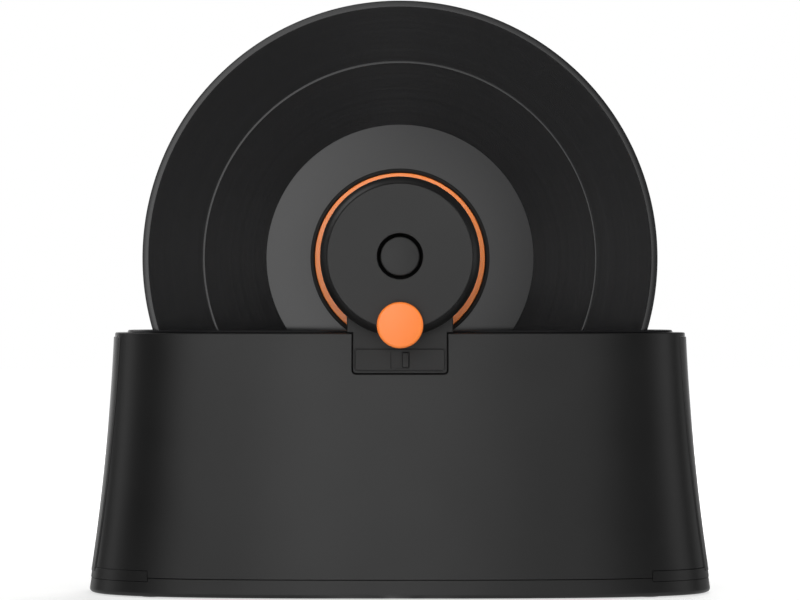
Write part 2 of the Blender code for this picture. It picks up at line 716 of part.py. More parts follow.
def make_base_screws(finish):
    screws = []
    for name, x, y in post_places():
        low = PAN_UNDERSIDE + GAP
        top = PAN_UNDERSIDE + SCREW_LENGTH - GAP
        profile = [(0, low), (SCREW_HEAD_RADIUS - GAP, low), (SCREW_HEAD_RADIUS, low + GAP),
                   (SCREW_SHANK_RADIUS, low + SCREW_HEAD_HEIGHT), (SCREW_SHANK_RADIUS, top - GAP),
                   (SCREW_SHANK_RADIUS - GAP, top), (0, top)]
        screws.append(turned(f"base_screw_{name}", profile, SMALL_STEPS, finish, place=(x, y, 0)))
    return screws


def foot_places():
    return [(f"{depth_name}_{side_name}", side * FOOT_LENGTHWAYS, depth * FOOT_DEPTHWAYS)
            for depth_name, depth in (("front", -1), ("rear", 1))
            for side_name, side in (("left", -1), ("right", 1))]


def make_feet(finish):
    profile = [(0, 0), (FOOT_RADIUS - FOOT_ROUNDING, 0), (FOOT_RADIUS, FOOT_ROUNDING),
               (FOOT_RADIUS, FOOT_THICKNESS), (0, FOOT_THICKNESS)]
    return [turned(f"foot_{name}", profile, SHAFT_STEPS, finish, place=(x, y, 0))
            for name, x, y in foot_places()]


def tank_levels():
    """Ovals of the tank: up the outside, over the lip and down the inside."""
    def level(height, inset):
        drop = max(0, TANK_SHOULDER_HEIGHT - height)
        share = drop / (TANK_SHOULDER_HEIGHT - TANK_UNDERSIDE)
        return (TANK_NECK_HALF_LENGTH - TANK_TAPER_LENGTH * share - inset,
                TANK_NECK_HALF_DEPTH - TANK_TAPER_DEPTH * share - inset, height)

    rounding = TANK_FLOOR_ROUNDING
    low, high = TANK_UNDERSIDE, TANK_SHOULDER_HEIGHT
    lip_length, lip_depth = RIM_HALF_LENGTH - TANK_LIP_INSET, RIM_HALF_DEPTH - TANK_LIP_INSET
    lip_low, lip_high = RIM_HEIGHT + GAP, TANK_LIP_TOP
    rounding_shares = (1.0, 0.0), (0.35, 0.22), (0.0, 1.0)
    levels = [level(low + rounding * up, rounding * across) for across, up in rounding_shares]
    levels += [level(high, 0)]
    levels += [level(lip_low, 0), (lip_length, lip_depth, lip_low)]
    levels += [(lip_length, lip_depth, lip_high - TANK_LIP_ROUNDING)]
    levels += [(lip_length - TANK_LIP_ROUNDING, lip_depth - TANK_LIP_ROUNDING, lip_high)]
    levels += [level(lip_high, TANK_WALL + TANK_LIP_ROUNDING - GAP)]
    levels += [level(lip_high - TANK_LIP_ROUNDING, TANK_WALL)]
    levels += [level(high, TANK_WALL), level(low + rounding, TANK_WALL)]
    floor_rounding = rounding - TANK_WALL
    levels += [level(TANK_FLOOR + floor_rounding * up, TANK_WALL + floor_rounding * across)
               for across, up in reversed(rounding_shares[:2])]
    return levels


def make_tank(finish):
    tank = stacked("wash_tank", tank_levels(), finish)
    for side, facing in ((-1, "front"), (1, "rear")):
        back, front = brush_bar_depths()
        low_y, high_y = sorted((side * (back - SOCKET_WALL), side * (front + SOCKET_WALL)))
        half_width = BRUSH_BAR_WIDTH / 2 + SOCKET_WALL
        top = TANK_FLOOR + SOCKET_HEIGHT
        socket = block(f"brush_socket_{facing}", (-half_width, low_y, TANK_FLOOR - TANK_WALL / 2),
                       (half_width, high_y, top))
        low_y, high_y = sorted((side * (back - GAP), side * (front + GAP)))
        half_width = BRUSH_BAR_WIDTH / 2 + GAP
        mouth = block(f"brush_socket_mouth_{facing}", (-half_width, low_y, TANK_FLOOR + GAP),
                      (half_width, high_y, top + OVERRUN))
        join(tank, socket)
        cut(tank, mouth)
    return tank


def brush_bar_depths():
    """Distances of a brush bar's two faces from the record's plane."""
    pad_face = EDGE_BEAD_THICKNESS / 2 + GAP
    back = pad_face + BRUSH_PAD_THICKNESS + GAP
    return back, back + BRUSH_BAR_THICKNESS


def make_brushes(bar_finish, pad_finish):
    back, front = brush_bar_depths()
    pad_face = EDGE_BEAD_THICKNESS / 2 + GAP
    half_bar, half_pad = BRUSH_BAR_WIDTH / 2, BRUSH_PAD_WIDTH / 2
    bar_outline = rounded_outline(-half_bar, half_bar, TANK_FLOOR + 2 * GAP, BRUSH_BAR_TOP,
                                  BRUSH_ROUNDING)
    pad_outline = rounded_outline(-half_pad, half_pad, BRUSH_PAD_BOTTOM,
                                  BRUSH_BAR_TOP - BRUSH_PAD_END_MARGIN, half_pad - GAP)
    made = []
    for facing in ("front", "rear"):
        bar = upright_plate(f"brush_holder_{facing}", bar_outline, front, back, bar_finish)
        pad = upright_plate(f"brush_pad_{facing}", pad_outline, back - GAP, pad_face, pad_finish)
        if facing == "rear":
            turn_to_rear(bar)
            turn_to_rear(pad)
        made += [bar, pad]
    return made


def bracket_outline():
    """Lower part that fills the notch, wings on the ledge, and an arch on top."""
    shoulder = RIM_HEIGHT + GAP
    lower = notch_outline(GAP, shoulder)
    bottom_corners, (right_top, left_top) = lower[:-2], lower[-2:]
    points = bottom_corners + [right_top, (WING_HALF_WIDTH, shoulder)]
    points += arc(0, AXIS_HEIGHT, WING_HALF_WIDTH, 0, 180, 4 * CORNER_STEPS)
    return points + [(-WING_HALF_WIDTH, shoulder), left_top]


def make_bracket(facing, finish):
    bracket = upright_plate(f"{facing}_bracket", bracket_outline(), wall_depth, BRACKET_BACK, finish)
    hook = block(f"bracket_hook_{facing}",
                 (-HOOK_HALF_WIDTH, -BRACKET_BACK - OVERRUN, TANK_LIP_TOP + GAP),
                 (HOOK_HALF_WIDTH, -BRACKET_BACK + HOOK_REACH, TANK_LIP_TOP + GAP + HOOK_HEIGHT))
    bore_radius = BEARING_RADIUS + GAP
    boss = on_axis(f"bracket_boss_{facing}",
                   [(bore_radius, BOSS_BACK), (BOSS_RADIUS, BOSS_BACK), (BOSS_RADIUS, BOSS_FRONT),
                    (bore_radius, BOSS_FRONT)], SHAFT_STEPS)
    boss_seat = rod(f"boss_seat_{facing}", (bore_radius + BOSS_RADIUS) / 2, BOSS_BACK, BOSS_FRONT,
                    SHAFT_STEPS, "front", (0, 0, AXIS_HEIGHT))
    join(bracket, hook)
    cut(bracket, boss_seat)
    join(bracket, boss)
    if facing == "front":
        cut(bracket, window_recess(), *slider_recess())
    else:
        for piece in (bracket, hook, boss_seat, boss):
            turn_to_rear(piece)
    return bracket


def behind_face(distance):
    """Rule for a surface that lies a distance behind the casing's face."""
    return lambda x, z: wall_depth(x, z) - distance


def window_recess():
    outline = rounded_outline(-WINDOW_HALF_WIDTH, WINDOW_HALF_WIDTH, WINDOW_BOTTOM, WINDOW_TOP,
                              WINDOW_CORNER)
    return upright_plate("window_recess", outline, behind_face(-OVERRUN), behind_face(COVER_BACK))


def slider_depths(height):
    """Distances of the slider plate's faces from the record's plane."""
    face = wall_depth(0, height)
    return face - COVER_BACK - GAP, face - SLIDER_BACK


def slider_places():
    """Left, right, bottom and top of the slider's plate behind the slot."""
    right = SLOT_RIGHT + SLIDER_OVERLAP
    left = SLOT_RIGHT - GRIP_WIDTH - GAP - SLIDER_OVERLAP
    return left, right, SLOT_BOTTOM + GAP, SLOT_TOP - GAP


def slider_recess():
    middle = (SLOT_BOTTOM + SLOT_TOP) / 2
    front, back = slider_depths(middle)
    left, right, bottom, top = slider_places()
    mouth = front + COVER_THICKNESS / 2
    room = block("slider_room", (left - SLIDER_TRAVEL - GAP, -mouth, bottom - GAP),
                 (right + GAP, -back + GAP, top + GAP))
    channel = block("bolt_channel",
                    (-NOTCH_HALF_WIDTH - OVERRUN, -front - GAP, middle - BOLT_HEIGHT / 2 - GAP),
                    (left, -back + GAP, middle + BOLT_HEIGHT / 2 + GAP))
    return room, channel


def make_lock(cover_finish, slider_finish):
    outline = rounded_outline(-WINDOW_HALF_WIDTH + GAP, WINDOW_HALF_WIDTH - GAP,
                              WINDOW_BOTTOM + GAP, WINDOW_TOP - GAP, WINDOW_CORNER - GAP)
    cover = upright_plate("lock_cover", outline, wall_depth, behind_face(COVER_THICKNESS), cover_finish)
    slot = block("lock_slot", (SLOT_LEFT, -FLOOR_HALF_DEPTH, SLOT_BOTTOM + SLIDER_OVERLAP),
                 (SLOT_RIGHT, -BRACKET_BACK, SLOT_TOP - SLIDER_OVERLAP))
    cut(cover, slot)
    middle = (SLOT_BOTTOM + SLOT_TOP) / 2
    front, back = slider_depths(middle)
    left, right, bottom, top = slider_places()
    slider = block("lock_slider", (left, -front, bottom), (right, -back, top), slider_finish)
    bolt = block("slider_bolt",
                 (-NOTCH_HALF_WIDTH + BOLT_SETBACK, -front, middle - BOLT_HEIGHT / 2),
                 (left + OVERRUN, -back, middle + BOLT_HEIGHT / 2))
    grip_outline = rounded_outline(SLOT_RIGHT - GAP - GRIP_WIDTH, SLOT_RIGHT - GAP,
                                   SLOT_BOTTOM + SLIDER_OVERLAP + GAP, SLOT_TOP - SLIDER_OVERLAP - GAP,
                                   GRIP_ROUNDING)
    grip = upright_plate("slider_grip", grip_outline, behind_face(-GRIP_PROUD),
                         (front + back) / 2)
    join(slider, bolt, grip)
    return cover, slider


def bearing_profile():
    flange_front = BOSS_FRONT + GAP + BEARING_FLANGE_THICKNESS
    return [(SHAFT_BORE_RADIUS, BOSS_BACK), (BEARING_RADIUS, BOSS_BACK),
            (BEARING_RADIUS, BOSS_FRONT + GAP), (BEARING_FLANGE_RADIUS, BOSS_FRONT + GAP),
            (BEARING_FLANGE_RADIUS, flange_front), (SHAFT_BORE_RADIUS, flange_front)]


def rear_bearing_profile():
    clip_back = REAR_SHAFT_END - CLIP_TO_SHAFT_END - CLIP_THICKNESS
    end = clip_back - GAP
    return [(SHAFT_BORE_RADIUS, BOSS_BACK), (BEARING_RADIUS, BOSS_BACK), (BEARING_RADIUS, end),
            (SHAFT_BORE_RADIUS, end)]


def cap_profile():
    """Cap over the rear boss, with a spigot that fits between boss and spindle."""
    inner, outer = BOSS_FRONT + GAP, BOSS_FRONT + GAP + CAP_THICKNESS
    spigot_end = inner - CAP_SPIGOT_LENGTH
    return [(0, inner), (SHAFT_BORE_RADIUS, inner), (SHAFT_BORE_RADIUS, spigot_end),
            (BEARING_RADIUS, spigot_end), (BEARING_RADIUS, inner), (BOSS_RADIUS, inner),
            (BOSS_RADIUS, outer - CAP_CHAMFER), (BOSS_RADIUS - CAP_CHAMFER, outer), (0, outer)]


def make_bearings(finish, cap_finish):
    front = on_axis("front_bearing", bearing_profile(), SHAFT_STEPS, finish)
    rear = on_axis("rear_bearing", rear_bearing_profile(), SHAFT_STEPS, finish, "rear")
    cap = on_axis("rear_bearing_cap", cap_profile(), SHAFT_STEPS, cap_finish, "rear")
    return front, rear, cap


def cup_profile():
    back = LABEL_THICKNESS / 2 + GAP
    sheet_back = back + SEAL_FLANGE_THICKNESS + GAP
    edge_front = sheet_back + CUP_EDGE_THICKNESS
    return [(SHAFT_BORE_RADIUS, back), (CUP_BOSS_RADIUS, back), (CUP_BOSS_RADIUS, sheet_back),
            (CUP_RADIUS, sheet_back), (CUP_RADIUS, edge_front),
            (CUP_CONE_RADIUS, CUP_CONE_FRONT), (HUB_RADIUS, CUP_CONE_FRONT + HUB_ROOT_RISE),
            (HUB_RADIUS, HUB_FRONT), (SHAFT_BORE_RADIUS, HUB_FRONT)]


def seal_profile():
    contact = RUN_OUT_THICKNESS / 2 + GAP
    flange_back = LABEL_THICKNESS / 2 + GAP
    flange_front = flange_back + SEAL_FLANGE_THICKNESS
    wall_inner = CUP_RADIUS + GAP
    return [(SEAL_FLANGE_INNER_RADIUS, flange_back), (LABEL_RADIUS + GAP, flange_back),
            (LABEL_RADIUS + GAP, contact), (SEAL_RADIUS, contact),
            (SEAL_RADIUS, SEAL_FRONT - SEAL_ROUNDING), (SEAL_RADIUS - SEAL_ROUNDING, SEAL_FRONT),
            (wall_inner, SEAL_FRONT), (wall_inner, flange_front),
            (SEAL_FLANGE_INNER_RADIUS, flange_front)]


def make_record(finish):
    bead, groove = EDGE_BEAD_THICKNESS / 2, GROOVE_THICKNESS / 2
    bead_inner = RECORD_RADIUS - EDGE_BEAD_WIDTH
    half = [(RECORD_HOLE_RADIUS, LABEL_THICKNESS / 2), (LABEL_RADIUS, LABEL_THICKNESS / 2),
            (LABEL_RADIUS, RUN_OUT_THICKNESS / 2), (RUN_OUT_RADIUS, RUN_OUT_THICKNESS / 2),
            (RUN_OUT_RADIUS, groove), (bead_inner, groove), (bead_inner, bead),
            (RECORD_RADIUS - EDGE_ROUNDING, bead), (RECORD_RADIUS, bead - EDGE_ROUNDING)]
    profile = half + [(radius, -height) for radius, height in reversed(half)]
    return on_axis("record", profile, RECORD_STEPS, finish)


def make_rear_spindle(finish):
    groove_middle = -NOSE_TIP - BALL_FROM_TIP
    groove_start, groove_end = (groove_middle - SOCKET_GROOVE_WIDTH / 2,
                                groove_middle + SOCKET_GROOVE_WIDTH / 2)
    floor = -NOSE_TIP + SOCKET_SPARE_DEPTH
    clip_end = REAR_SHAFT_END - CLIP_TO_SHAFT_END + GAP
    clip_start = clip_end - CLIP_THICKNESS - 2 * GAP
    neck = SHAFT_RADIUS - CLIP_GROOVE_DEPTH
    profile = [(0, floor), (SOCKET_BORE_RADIUS, floor), (SOCKET_BORE_RADIUS, groove_end),
               (SOCKET_GROOVE_RADIUS, groove_end), (SOCKET_GROOVE_RADIUS, groove_start),
               (SOCKET_BORE_RADIUS, groove_start), (SOCKET_BORE_RADIUS, SHAFT_START),
               (SHAFT_RADIUS, SHAFT_START), (SHAFT_RADIUS, clip_start), (neck, clip_start),
               (neck, clip_end), (SHAFT_RADIUS, clip_end), (SHAFT_RADIUS, REAR_SHAFT_END),
               (0, REAR_SHAFT_END)]
    return on_axis("rear_spindle", profile, SHAFT_STEPS, finish, "rear")


def make_retaining_clip(finish):
    """Open spring ring in the spindle's groove, behind the rear bearing."""
    back = REAR_SHAFT_END - CLIP_TO_SHAFT_END
    inner = SHAFT_RADIUS - CLIP_GROOVE_DEPTH + GAP
    profile = [(inner, back - CLIP_THICKNESS), (CLIP_RADIUS, back - CLIP_THICKNESS),
               (CLIP_RADIUS, back), (inner, back)]
    clip = on_axis("retaining_clip", profile, SHAFT_STEPS, finish, "rear")
    mouth = block("clip_mouth", (-CLIP_OPENING / 2, back - OVERRUN - CLIP_THICKNESS, AXIS_HEIGHT),
                  (CLIP_OPENING / 2, back + OVERRUN, AXIS_HEIGHT + CLIP_RADIUS + OVERRUN))
    cut(clip, mouth)
    return clip


def make_drive_shaft(finish):
    bore_end = NOSE_TIP + NOSE_TIP_WALL
    stem_floor = stem_back() - BUTTON_TRAVEL - GAP
    profile = [(0, NOSE_TIP), (NOSE_RADIUS - NOSE_CHAMFER, NOSE_TIP),
               (NOSE_RADIUS, NOSE_TIP + NOSE_CHAMFER), (NOSE_RADIUS, SHAFT_START),
               (SHAFT_RADIUS, SHAFT_START), (SHAFT_RADIUS, SHAFT_FRONT),
               (STEM_BORE_RADIUS, SHAFT_FRONT), (STEM_BORE_RADIUS, stem_floor),
               (ROD_BORE_RADIUS, stem_floor), (ROD_BORE_RADIUS, bore_end), (0, bore_end)]
    shaft = on_axis("drive_shaft", profile, SHAFT_STEPS, finish)
    hole = rod("ball_hole", BALL_RADIUS + GAP / 2, -NOSE_RADIUS - OVERRUN, NOSE_RADIUS + OVERRUN,
               place=(0, -ball_place(), AXIS_HEIGHT))
    hole.rotation_euler.y = math.pi / 2
    cut(shaft, hole)
    return shaft


def ball_place():
    """Distance of the latch balls in front of the record's plane."""
    return NOSE_TIP + BALL_FROM_TIP


def make_latch_balls(finish):
    balls = []
    reach = NOSE_RADIUS - BALL_SETBACK - BALL_RADIUS
    for side_name, side in (("left", -1), ("right", 1)):
        shape = bmesh.new()
        bmesh.ops.create_icosphere(shape, subdivisions=2, radius=BALL_RADIUS)
        ball = add_object(f"latch_ball_{side_name}", finish_mesh("latch_ball", shape), finish)
        ball.location = (side * reach, -ball_place(), AXIS_HEIGHT)
        balls.append(ball)
    return balls


def make_release_rod(finish):
    end = NOSE_TIP + NOSE_TIP_WALL + BUTTON_TRAVEL + GAP
    neck_start = end + GAP
    neck_end = ball_place() + BALL_RADIUS + GAP + BUTTON_TRAVEL
    front = stem_back() - GAP
    profile = [(0, end), (ROD_NECK_RADIUS, end), (ROD_NECK_RADIUS, neck_start),
               (ROD_NECK_RADIUS, neck_end), (ROD_RADIUS, neck_end + ROD_RADIUS),
               (ROD_RADIUS, front), (0, front)]
    return on_axis("release_rod", profile, SMALL_STEPS, finish)


def stem_back():
    return SHAFT_FRONT - STEM_LENGTH


def make_button(finish):
    profile = [(0, stem_back()), (STEM_RADIUS - BUTTON_CHAMFER, stem_back()),
               (STEM_RADIUS, stem_back() + BUTTON_CHAMFER), (STEM_RADIUS, BUTTON_BACK),
               (BUTTON_RADIUS, BUTTON_BACK), (BUTTON_RADIUS, BUTTON_FRONT - BUTTON_CHAMFER),
               (BUTTON_RADIUS - BUTTON_CHAMFER, BUTTON_FRONT), (0, BUTTON_FRONT)]
    return on_axis("release_button", profile, SHAFT_STEPS, finish)


def make_button_spring(finish):
    """Open coil between the wheel's recess and the button, as one bent wire."""
    start = RECESS_FLOOR + SPRING_WIRE_RADIUS + GAP
    end = BUTTON_BACK - SPRING_WIRE_RADIUS - GAP
    count = round(SPRING_TURNS * 10)
    pitch = (end - start) / SPRING_TURNS
    print(f"button_spring: least gap between turns {pitch - 2 * SPRING_WIRE_RADIUS:.4f} m")
    path = bpy.data.curves.new("button_spring", "CURVE")
    path.dimensions = "3D"
    path.bevel_depth = SPRING_WIRE_RADIUS
    path.bevel_resolution = 1
    path.use_fill_caps = True
    wire = path.splines.new("POLY")
    wire.points.add(count)
    for i, point in enumerate(wire.points):
        turn = 2 * math.pi * SPRING_TURNS * i / count
        forward = start + (end - start) * i / count
        point.co = (SPRING_COIL_RADIUS * math.cos(turn), -forward,
                    SPRING_COIL_RADIUS * math.sin(turn), 1)
    path.materials.append(finish)
    spring = bpy.data.objects.new("button_spring", path)
    spring.location = (0, 0, AXIS_HEIGHT)
    bpy.context.scene.collection.objects.link(spring)
    return spring


def wheel_profile():
    hub = BUTTON_RADIUS + GAP + HUB_RECESS_WALL
    recess = BUTTON_RADIUS + GAP
    web_back = WHEEL_WEB_FRONT - WHEEL_WEB
    skirt = WHEEL_RADIUS - WHEEL_SKIRT_WALL
    band_front = WHEEL_FACE_RADIUS + GAP
    crown_shares = (1.0, 0.0), (0.93, 0.28), (0.0, 1.0)
    crown_run = WHEEL_RADIUS - band_front - WHEEL_EDGE_ROUNDING
    crown_rise = WHEEL_FACE_FRONT - WHEEL_EDGE_ROUNDING - WHEEL_WIDEST
    profile = [(SHAFT_BORE_RADIUS, HUB_START), (hub, HUB_START), (hub, web_back), (skirt, web_back),
               (skirt, WHEEL_BACK), (WHEEL_RADIUS - WHEEL_BACK_CHAMFER, WHEEL_BACK),
               (WHEEL_RADIUS, WHEEL_BACK + WHEEL_BACK_CHAMFER)]
    profile += [(band_front + WHEEL_EDGE_ROUNDING + crown_run * out, WHEEL_WIDEST + crown_rise * up)
                for out, up in crown_shares]
    profile += [(band_front, WHEEL_FACE_FRONT), (band_front, WHEEL_WEB_FRONT),
                (BUTTON_GROOVE_RADIUS, WHEEL_WEB_FRONT), (recess, WHEEL_WEB_FRONT - BUTTON_LEAD_IN),
                (recess, RECESS_FLOOR), (SHAFT_BORE_RADIUS, RECESS_FLOOR)]
    return profile


def make_wheel(finish):
    wheel = on_axis("crank_wheel", wheel_profile(), WHEEL_STEPS, finish)
    boss_back = WHEEL_WEB_FRONT - WHEEL_WEB - KNOB_PIN_ROOT / 2
    boss_front = WHEEL_FACE_FRONT + KNOB_BOSS_PROUD
    bore_floor = WHEEL_FACE_FRONT - KNOB_PIN_ROOT - GAP
    bore = KNOB_PIN_RADIUS + GAP
    boss = turned("knob_boss", [(0, boss_back), (KNOB_BOSS_RADIUS, boss_back),
                                (KNOB_BOSS_RADIUS, boss_front), (bore, boss_front),
                                (bore, bore_floor), (0, bore_floor)], SHAFT_STEPS,
                  facing="front", place=knob_place())
    boss_seat = rod("knob_boss_seat", (bore + KNOB_BOSS_RADIUS) / 2, boss_back + OVERRUN / 2,
                    boss_front, SHAFT_STEPS, "front", knob_place())
    hole = rod("set_screw_hole", SET_SCREW_RADIUS + GAP, SHAFT_BORE_RADIUS - OVERRUN,
               BUTTON_RADIUS + HUB_RECESS_WALL + OVERRUN, place=set_screw_place())
    hole.rotation_euler.y = math.pi / 2
    cut(wheel, hole, boss_seat)
    join(wheel, boss)
    return wheel


def set_screw_place():
    return 0, -(HUB_START + RECESS_FLOOR) / 2, AXIS_HEIGHT


def make_set_screw(finish):
    start = SHAFT_BORE_RADIUS
    end = BUTTON_RADIUS + HUB_RECESS_WALL - SET_SCREW_INSET
    screw = turned("wheel_set_screw", [(0, start), (SET_SCREW_RADIUS, start), (SET_SCREW_RADIUS, end),
                                       (0, end)], SMALL_STEPS, finish, place=set_screw_place())
    screw.rotation_euler.y = math.pi / 2
    return screw


def make_back_plate(finish):
    """Ring that closes the hollow in the wheel's back, around its hub."""
    inner = BUTTON_RADIUS + HUB_RECESS_WALL + 2 * GAP
    outer = WHEEL_RADIUS - WHEEL_SKIRT_WALL - GAP
    back, front = WHEEL_BACK + GAP, WHEEL_BACK + GAP + BACK_PLATE_THICKNESS
    profile = [(inner, back), (outer, back), (outer, front), (inner, front)]
    return on_axis("crank_back_plate", profile, WHEEL_STEPS, finish)


def make_wheel_cover(finish):
    back, front = WHEEL_WEB_FRONT + GAP, WHEEL_FACE_FRONT
    profile = [(BUTTON_GROOVE_RADIUS, back), (WHEEL_FACE_RADIUS, back), (WHEEL_FACE_RADIUS, front),
               (BUTTON_GROOVE_RADIUS, front)]
    cover = on_axis("crank_cover", profile, WHEEL_STEPS, finish)
    clearance = rod("knob_boss_clearance", KNOB_BOSS_RADIUS + GAP, back - OVERRUN, front + OVERRUN,
                    SHAFT_STEPS, "front", knob_place())
    cut(cover, clearance)
    return cover


def knob_place():
    return 0, 0, AXIS_HEIGHT - KNOB_OFFSET


def knob_pin_end():
    return KNOB_FRONT - KNOB_FACE_WALL - KNOB_RUNNING_GAP


def make_knob_pin(finish):
    root = WHEEL_FACE_FRONT - KNOB_PIN_ROOT
    end = knob_pin_end()
    barb = KNOB_PIN_RADIUS + KNOB_PIN_BARB
    barb_start = end - KNOB_PIN_BARB_LENGTH
    profile = [(0, root), (KNOB_PIN_RADIUS, root), (KNOB_PIN_RADIUS, barb_start),
               (barb, barb_start + KNOB_PIN_BARB), (barb, end - KNOB_PIN_BARB),
               (KNOB_PIN_RADIUS, end), (0, end)]
    return turned("knob_pin", profile, SHAFT_STEPS, finish, "front", knob_place())


def make_knob(finish):
    back = WHEEL_FACE_FRONT + KNOB_BOSS_PROUD + KNOB_RUNNING_GAP
    bore = KNOB_PIN_RADIUS + KNOB_RUNNING_GAP
    undercut = bore + KNOB_PIN_BARB
    undercut_start = knob_pin_end() - KNOB_PIN_BARB_LENGTH - KNOB_RUNNING_GAP
    neck = back + KNOB_NECK_FROM_BACK
    head = KNOB_FRONT - KNOB_HEAD_DEPTH
    floor = knob_pin_end() + KNOB_RUNNING_GAP
    rounding_shares = (1.0, 0.0), (0.95, 0.40), (0.70, 0.78), (0.0, 1.0)
    inner = KNOB_RADIUS - KNOB_FACE_ROUNDING
    profile = [(0, floor), (undercut, floor), (undercut, undercut_start), (bore, undercut_start)]
    profile += [(bore, back), (KNOB_BACK_RADIUS, back), (KNOB_NECK_RADIUS, neck), (KNOB_RADIUS, head)]
    profile += [(inner + KNOB_FACE_ROUNDING * out, KNOB_FRONT - KNOB_FACE_ROUNDING * (1 - up))
                for out, up in rounding_shares]
    profile += [(0, KNOB_FRONT)]
    return turned("crank_knob", profile, SHAFT_STEPS + SMALL_STEPS, finish, "front", knob_place())


def clear_scene():
    for old in list(bpy.data.objects):
        bpy.data.objects.remove(old, do_unlink=True)


def build():
    clear_scene()
    satin_black = material("satin_black_abs", colour(58, 58, 58), 0.45)
    panel_black = material("satin_panel_abs", colour(60, 60, 60), 0.42)
    tank_black = material("gloss_tank_plastic", colour(26, 26, 27), 0.25)
    bracket_grey = material("satin_bracket_abs", colour(54, 54, 54), 0.45)
    wheel_black = material("soft_touch_black", colour(52, 52, 52), 0.50)
    orange = material("orange_abs", colour(240, 128, 72), 0.40)
    rubber = material("black_rubber", colour(28, 28, 28), 0.80)
    vinyl = material("record_vinyl", colour(30, 30, 31), 0.25)
    steel = material("stainless_steel", colour(190, 190, 192), 0.25, 1.0)
    acetal = material("white_acetal", colour(222, 221, 214), 0.40)
    pile = material("pad_pile", colour(205, 200, 190), 0.90)

    make_casing(satin_black)
    make_base_pan(satin_black)
    make_end_panels(panel_black)
    make_feet(rubber)
    make_base_screws(steel)

    clamps = {facing: [on_axis(f"{facing}_label_cup", cup_profile(), WHEEL_STEPS, orange, facing),
                       on_axis(f"{facing}_seal", seal_profile(), WHEEL_STEPS, rubber, facing)]
              for facing in ("front", "rear")}
    axis_place = (0, 0, AXIS_HEIGHT)
    knob = carry("knob_spin", knob_place(), [make_knob(orange)])
    button = carry("button_press", axis_place, [make_button(wheel_black), make_release_rod(steel)])
    front_clamp = carry("clamp_pull", axis_place, [
        make_drive_shaft(steel), *clamps["front"], *make_latch_balls(steel), make_wheel(wheel_black),
        make_wheel_cover(wheel_black), make_back_plate(wheel_black), make_set_screw(steel),
        make_button_spring(steel), make_knob_pin(steel), knob, button])
    rotor = carry("rotor_spin", axis_place, [
        make_rear_spindle(steel), make_retaining_clip(steel), *clamps["rear"], make_record(vinyl),
        front_clamp])

    cover, slider = make_lock(bracket_grey, satin_black)
    lock = carry("lock_slide", (0, 0, (SLOT_BOTTOM + SLOT_TOP) / 2), [slider])
    carrier = carry("carrier_lift", axis_place, [
        make_bracket("front", bracket_grey), make_bracket("rear", bracket_grey), cover,
        *make_bearings(acetal, bracket_grey), rotor, lock])
    carry("tank_lift", (0, 0, TANK_UNDERSIDE), [
        make_tank(tank_black), *make_brushes(tank_black, pile), carrier])


build()
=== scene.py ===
import math

import bmesh
import bpy
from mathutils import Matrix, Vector


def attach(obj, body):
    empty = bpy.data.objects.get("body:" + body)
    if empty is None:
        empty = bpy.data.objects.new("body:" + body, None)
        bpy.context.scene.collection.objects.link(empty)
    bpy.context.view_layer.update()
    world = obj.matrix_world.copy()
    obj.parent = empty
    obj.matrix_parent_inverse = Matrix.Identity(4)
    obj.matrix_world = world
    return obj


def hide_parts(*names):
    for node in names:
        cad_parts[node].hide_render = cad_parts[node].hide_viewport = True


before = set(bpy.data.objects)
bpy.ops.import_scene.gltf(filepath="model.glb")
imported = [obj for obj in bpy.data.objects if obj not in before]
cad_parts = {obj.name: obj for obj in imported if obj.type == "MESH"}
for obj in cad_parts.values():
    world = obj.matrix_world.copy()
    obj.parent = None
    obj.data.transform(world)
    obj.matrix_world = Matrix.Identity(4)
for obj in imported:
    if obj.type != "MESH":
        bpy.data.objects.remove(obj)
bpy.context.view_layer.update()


# --- Casing ---
# The outer body is one injection moulding in black ABS, an oval shell that flares
# towards the floor. A flat ledge inside its rim carries the wash tank, and a notch
# in the front and rear walls takes the two brackets.

def linear(colour):
    """A hex colour as the linear colour that a shader wants."""
    channels = [int(colour[i:i + 2], 16) / 255 for i in (1, 3, 5)]
    return [c / 12.92 if c <= 0.04045 else ((c + 0.055) / 1.055) ** 2.4 for c in channels] + [1]


def add(tree, kind, links=None, **settings):
    """Add a node, set it up, and feed each named input from a node, a socket or a value."""
    made = tree.nodes.new(kind)
    for name, value in settings.items():
        setattr(made, name, value)
    for key, value in (links or {}).items():
        target = made.inputs[key] if isinstance(key, int) else next(
            s for s in made.inputs if s.name == key and s.enabled)
        if isinstance(value, bpy.types.Node):
            value = next(s for s in value.outputs if s.enabled)
        if isinstance(value, bpy.types.NodeSocket):
            tree.links.new(value, target)
        else:
            target.default_value = value
    return made


def blank_material(name):
    """A material with an empty node tree, that tree, and the piece's own coordinates."""
    made = bpy.data.materials.new(name)
    made.use_nodes = True
    made.node_tree.nodes.clear()
    return made, made.node_tree, add(made.node_tree, "ShaderNodeTexCoord").outputs["Object"]


